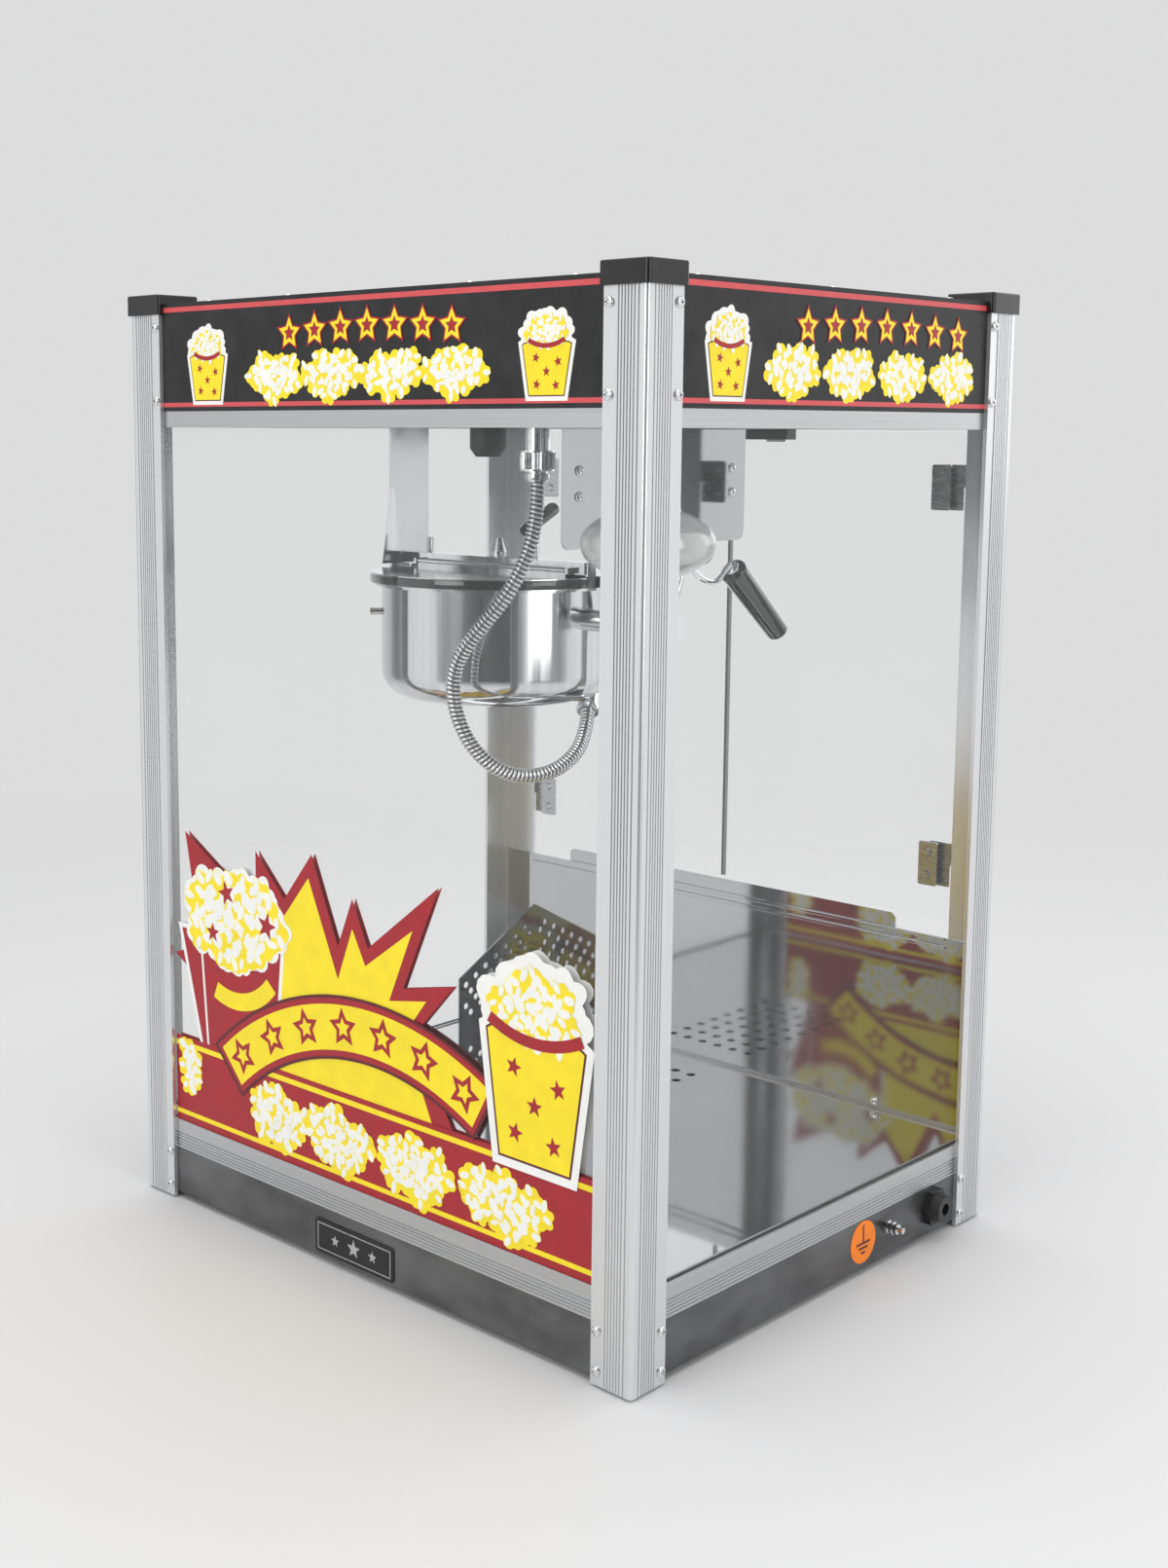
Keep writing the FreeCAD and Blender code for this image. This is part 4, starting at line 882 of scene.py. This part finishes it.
def make_lid_lever():
    """The rear lid's lever: a steel foot and stem, and a black slanting grip."""
    low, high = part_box("lid_lever")
    x = (low.x + high.x) / 2
    foot_high = low.z + 0.0015
    foot = slab("lever_foot", (x - 0.009, low.y + 0.010, low.z), (x + 0.009, low.y + 0.036, foot_high),
                "chrome", "rear_lid")
    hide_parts("lid_lever")
    stem_y = low.y + 0.0185
    lathe("lever_stem", [(0.0042, 0.0), (0.0042, 0.004), (0.0025, 0.006), (0.0025, 0.038)],
          (x, stem_y, foot_high), UP, "chrome", "rear_lid", 20)
    slope = Vector(LEVER_SLOPE).normalized()
    profile = [(0.0030, 0.0), (0.0052, 0.0006), (0.0060, 0.003), (0.0058, LEVER_LENGTH * 0.5),
               (0.0062, LEVER_LENGTH - 0.004), (0.0052, LEVER_LENGTH - 0.001), (0.0025, LEVER_LENGTH)]
    start = Vector((x, stem_y, foot_high + LEVER_STEM_TOP)) - slope * 0.018
    lathe("lever_grip", profile, start, slope, "bakelite", "rear_lid", 28)


KETTLE_Y = -0.012           # of the kettle's upright axis
BAND_GAP = 0.0115           # half of the gap between the two bands
BAND_STEPS = 64


def make_lid_bands():
    """The dark sealing band round each half of the lid."""
    for side, body in ((-1, "front_lid"), (1, "rear_lid")):
        low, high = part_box("lid_front" if side < 0 else "lid_rear")
        radius = (high.x - low.x) / 2 + 0.0001
        x, foot = (low.x + high.x) / 2, low.z
        gap = math.asin(BAND_GAP / radius)
        bm = bmesh.new()
        rings = []
        section = [(0.0, foot + 0.0002), (0.0012, foot + 0.0010), (0.0015, foot + 0.0040),
                   (0.0012, foot + 0.0078), (0.0, foot + 0.0084)]
        for i in range(BAND_STEPS + 1):
            a = side * (gap + (math.pi - 2 * gap) * i / BAND_STEPS)
            ring = []
            for out, z in section:
                reach = radius + out
                ring.append(bm.verts.new((x + reach * math.cos(a), KETTLE_Y + reach * math.sin(a), z)))
            rings.append(ring)
        count = len(section)
        for first, second in zip(rings, rings[1:]):
            for k in range(count):
                j = (k + 1) % count
                bm.faces.new((first[k], first[j], second[j], second[k]))
        bm.faces.new(rings[0])
        bm.faces.new(rings[-1])
        mesh = finish_mesh(bm, "lid_band")
        new_piece("lid_band_" + ("front" if side < 0 else "rear"), mesh, "bakelite", body)


SEAL_THICKNESS = 0.0004


def make_door_seals():
    """A thin dark strip down the free edge of each door."""
    for side, body in ((-1, "left_door"), (1, "right_door")):
        low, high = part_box("door_left_pane" if side < 0 else "door_right_pane")
        edge = high.x if side < 0 else low.x
        x = sorted((edge, edge + side * SEAL_THICKNESS))
        slab("door_seal_" + body, (x[0], low.y, low.z + 0.001), (x[1], high.y, high.z - 0.001),
             "glass_edge", body, 0.0001)


HEM_DROPS = (0.014, 0.0215)             # below the rear panel's top
HEM_HALF_WIDE, HEM_HALF_TALL, HEM_DEPTH = 0.2405, 0.0016, 0.0022


def make_panel_hem():
    """The folded edge along the rear panel's top, on the inside."""
    low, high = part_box("rear_panel")
    for i, drop in enumerate(HEM_DROPS):
        z = high.z - drop
        start = (-HEM_HALF_WIDE, low.y - HEM_DEPTH, z - HEM_HALF_TALL)
        slab("panel_hem_%d" % (i + 1), start, (HEM_HALF_WIDE, low.y, z + HEM_HALF_TALL),
             "mirror_steel", "cabinet", 0.0007)


GRIP_TOP, GRIP_END = (0.060, 0.562), (0.128, 0.504)     # y and z


def make_handle_ferrule():
    """The bright ring where the tilt handle's rod enters its grip."""
    low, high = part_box("handle_grip")
    x = (low.x + high.x) / 2
    top, end = Vector((x, *GRIP_TOP)), Vector((x, *GRIP_END))
    along = (end - top).normalized()
    profile = [(0.0040, 0.0), (0.0066, 0.0004), (0.0070, 0.0016), (0.0066, 0.0028), (0.0040, 0.0034)]
    lathe("handle_ferrule", profile, top + along * 0.0022, along, "chrome", "kettle", 28)


# ---- stage and light ----
FLOOR_RADIUS = 30.0
FLOOR_FADE = (0.5, 2.2)     # where the floor starts and ends its fade into the background


def make_stage():
    """A pale floor that fades into the background, so no horizon shows."""
    bm = bmesh.new()
    bmesh.ops.create_circle(bm, cap_ends=True, radius=FLOOR_RADIUS, segments=96)
    floor = bpy.data.objects.new("floor", finish_mesh(bm, "floor"))
    mat = bpy.data.materials.new("floor")
    mat.use_nodes = True
    nodes, links = mat.node_tree.nodes, mat.node_tree.links
    shader = nodes["Principled BSDF"]
    shader.inputs["Base Color"].default_value = (0.66, 0.66, 0.665, 1)
    shader.inputs["Roughness"].default_value = 0.6
    clear = nodes.new("ShaderNodeBsdfTransparent")
    mix = nodes.new("ShaderNodeMixShader")
    place = nodes.new("ShaderNodeTexCoord")
    length = nodes.new("ShaderNodeVectorMath")
    length.operation = "LENGTH"
    links.new(place.outputs["Object"], length.inputs[0])
    fade = nodes.new("ShaderNodeMapRange")
    fade.interpolation_type = "SMOOTHSTEP"
    fade.inputs["From Min"].default_value = FLOOR_FADE[0]
    fade.inputs["From Max"].default_value = FLOOR_FADE[1]
    links.new(length.outputs["Value"], fade.inputs["Value"])
    links.new(fade.outputs["Result"], mix.inputs["Fac"])
    links.new(shader.outputs["BSDF"], mix.inputs[1])
    links.new(clear.outputs["BSDF"], mix.inputs[2])
    links.new(mix.outputs["Shader"], nodes["Material Output"].inputs["Surface"])
    floor.data.materials.append(mat)
    bpy.context.scene.collection.objects.link(floor)


def area_light(name, at, aim, size, power):
    """A soft rectangular light that faces its aim."""
    data = bpy.data.lights.new(name, "AREA")
    data.shape = "RECTANGLE"
    data.size, data.size_y = size
    data.energy = power
    light = bpy.data.objects.new(name, data)
    light.location = at
    light.rotation_euler = (Vector(aim) - Vector(at)).to_track_quat("-Z", "Y").to_euler()
    bpy.context.scene.collection.objects.link(light)


# The studio's walls, as bright metal mirrors them: share of the way round from -X through -Y, and tone.
WALLS = [
    (0.0, 0.6), (0.035, 0.2), (0.06, 0.2), (0.08, 0.85), (0.125, 0.95), (0.19, 0.95), (0.215, 0.35),
    (0.25, 0.45), (0.28, 0.16), (0.33, 0.08), (0.40, 0.07), (0.43, 0.30), (0.45, 1.1), (0.47, 0.4),
    (0.50, 0.45), (0.54, 0.3), (0.575, 0.85), (0.60, 1.0), (0.68, 1.0), (0.72, 0.3), (0.76, 0.6),
    (0.82, 0.9), (0.88, 0.95), (0.94, 0.7), (1.0, 0.6),
]


def make_lights():
    """Four large soft lights."""
    area_light("top", (0.0, -0.2, 2.6), (0, 0, 0.4), (2.6, 2.6), 34)
    area_light("front", (-0.1, -3.0, 1.5), (0, 0, 0.4), (1.4, 2.2), 26)
    area_light("right", (2.6, -0.3, 1.2), (0, 0, 0.4), (1.2, 2.2), 18)
    area_light("rear", (0.4, 2.6, 1.4), (0, 0, 0.5), (2.4, 1.8), 14)


def make_world():
    """Reflections see a studio with light and dark walls; everything else sees plain grey."""
    world = bpy.data.worlds.new("studio")
    bpy.context.scene.world = world
    world.use_nodes = True
    nodes, links = world.node_tree.nodes, world.node_tree.links
    plain = nodes["Background"]
    plain.inputs["Color"].default_value = (0.80, 0.80, 0.805, 1)
    plain.inputs["Strength"].default_value = 0.90
    walls = nodes.new("ShaderNodeBackground")
    place = nodes.new("ShaderNodeTexCoord")
    split = nodes.new("ShaderNodeSeparateXYZ")
    links.new(place.outputs["Generated"], split.inputs["Vector"])
    around = nodes.new("ShaderNodeMath")
    around.operation = "ARCTAN2"
    links.new(split.outputs["Y"], around.inputs[0])
    links.new(split.outputs["X"], around.inputs[1])
    share = nodes.new("ShaderNodeMapRange")
    share.inputs["From Min"].default_value = -math.pi
    share.inputs["From Max"].default_value = math.pi
    links.new(around.outputs["Value"], share.inputs["Value"])
    ramp = nodes.new("ShaderNodeValToRGB")
    ramp.color_ramp.interpolation = "EASE"
    elements = ramp.color_ramp.elements
    for element, (position, tone) in zip(elements, (WALLS[0], WALLS[-1])):
        element.position = position
        element.color = (tone, tone, tone, 1)
    for position, tone in WALLS[1:-1]:
        elements.new(position).color = (tone, tone, tone * 1.01, 1)
    links.new(share.outputs["Result"], ramp.inputs["Fac"])
    links.new(ramp.outputs["Color"], walls.inputs["Color"])
    walls.inputs["Strength"].default_value = 0.95
    path = nodes.new("ShaderNodeLightPath")
    mix = nodes.new("ShaderNodeMixShader")
    links.new(path.outputs["Is Glossy Ray"], mix.inputs["Fac"])
    links.new(plain.outputs["Background"], mix.inputs[1])
    links.new(walls.outputs["Background"], mix.inputs[2])
    links.new(mix.outputs["Shader"], nodes["World Output"].inputs["Surface"])


make_camera()
make_conduit()
dress_nodes()
make_prints()
make_cabinet_fittings()
make_rear_fittings()
make_switch_marks()
make_conduit_nut()
make_label()
make_name_plate()
make_lid_lever()
make_lid_bands()
make_door_seals()
make_panel_hem()
make_handle_ferrule()
make_stage()
make_lights()
make_world()
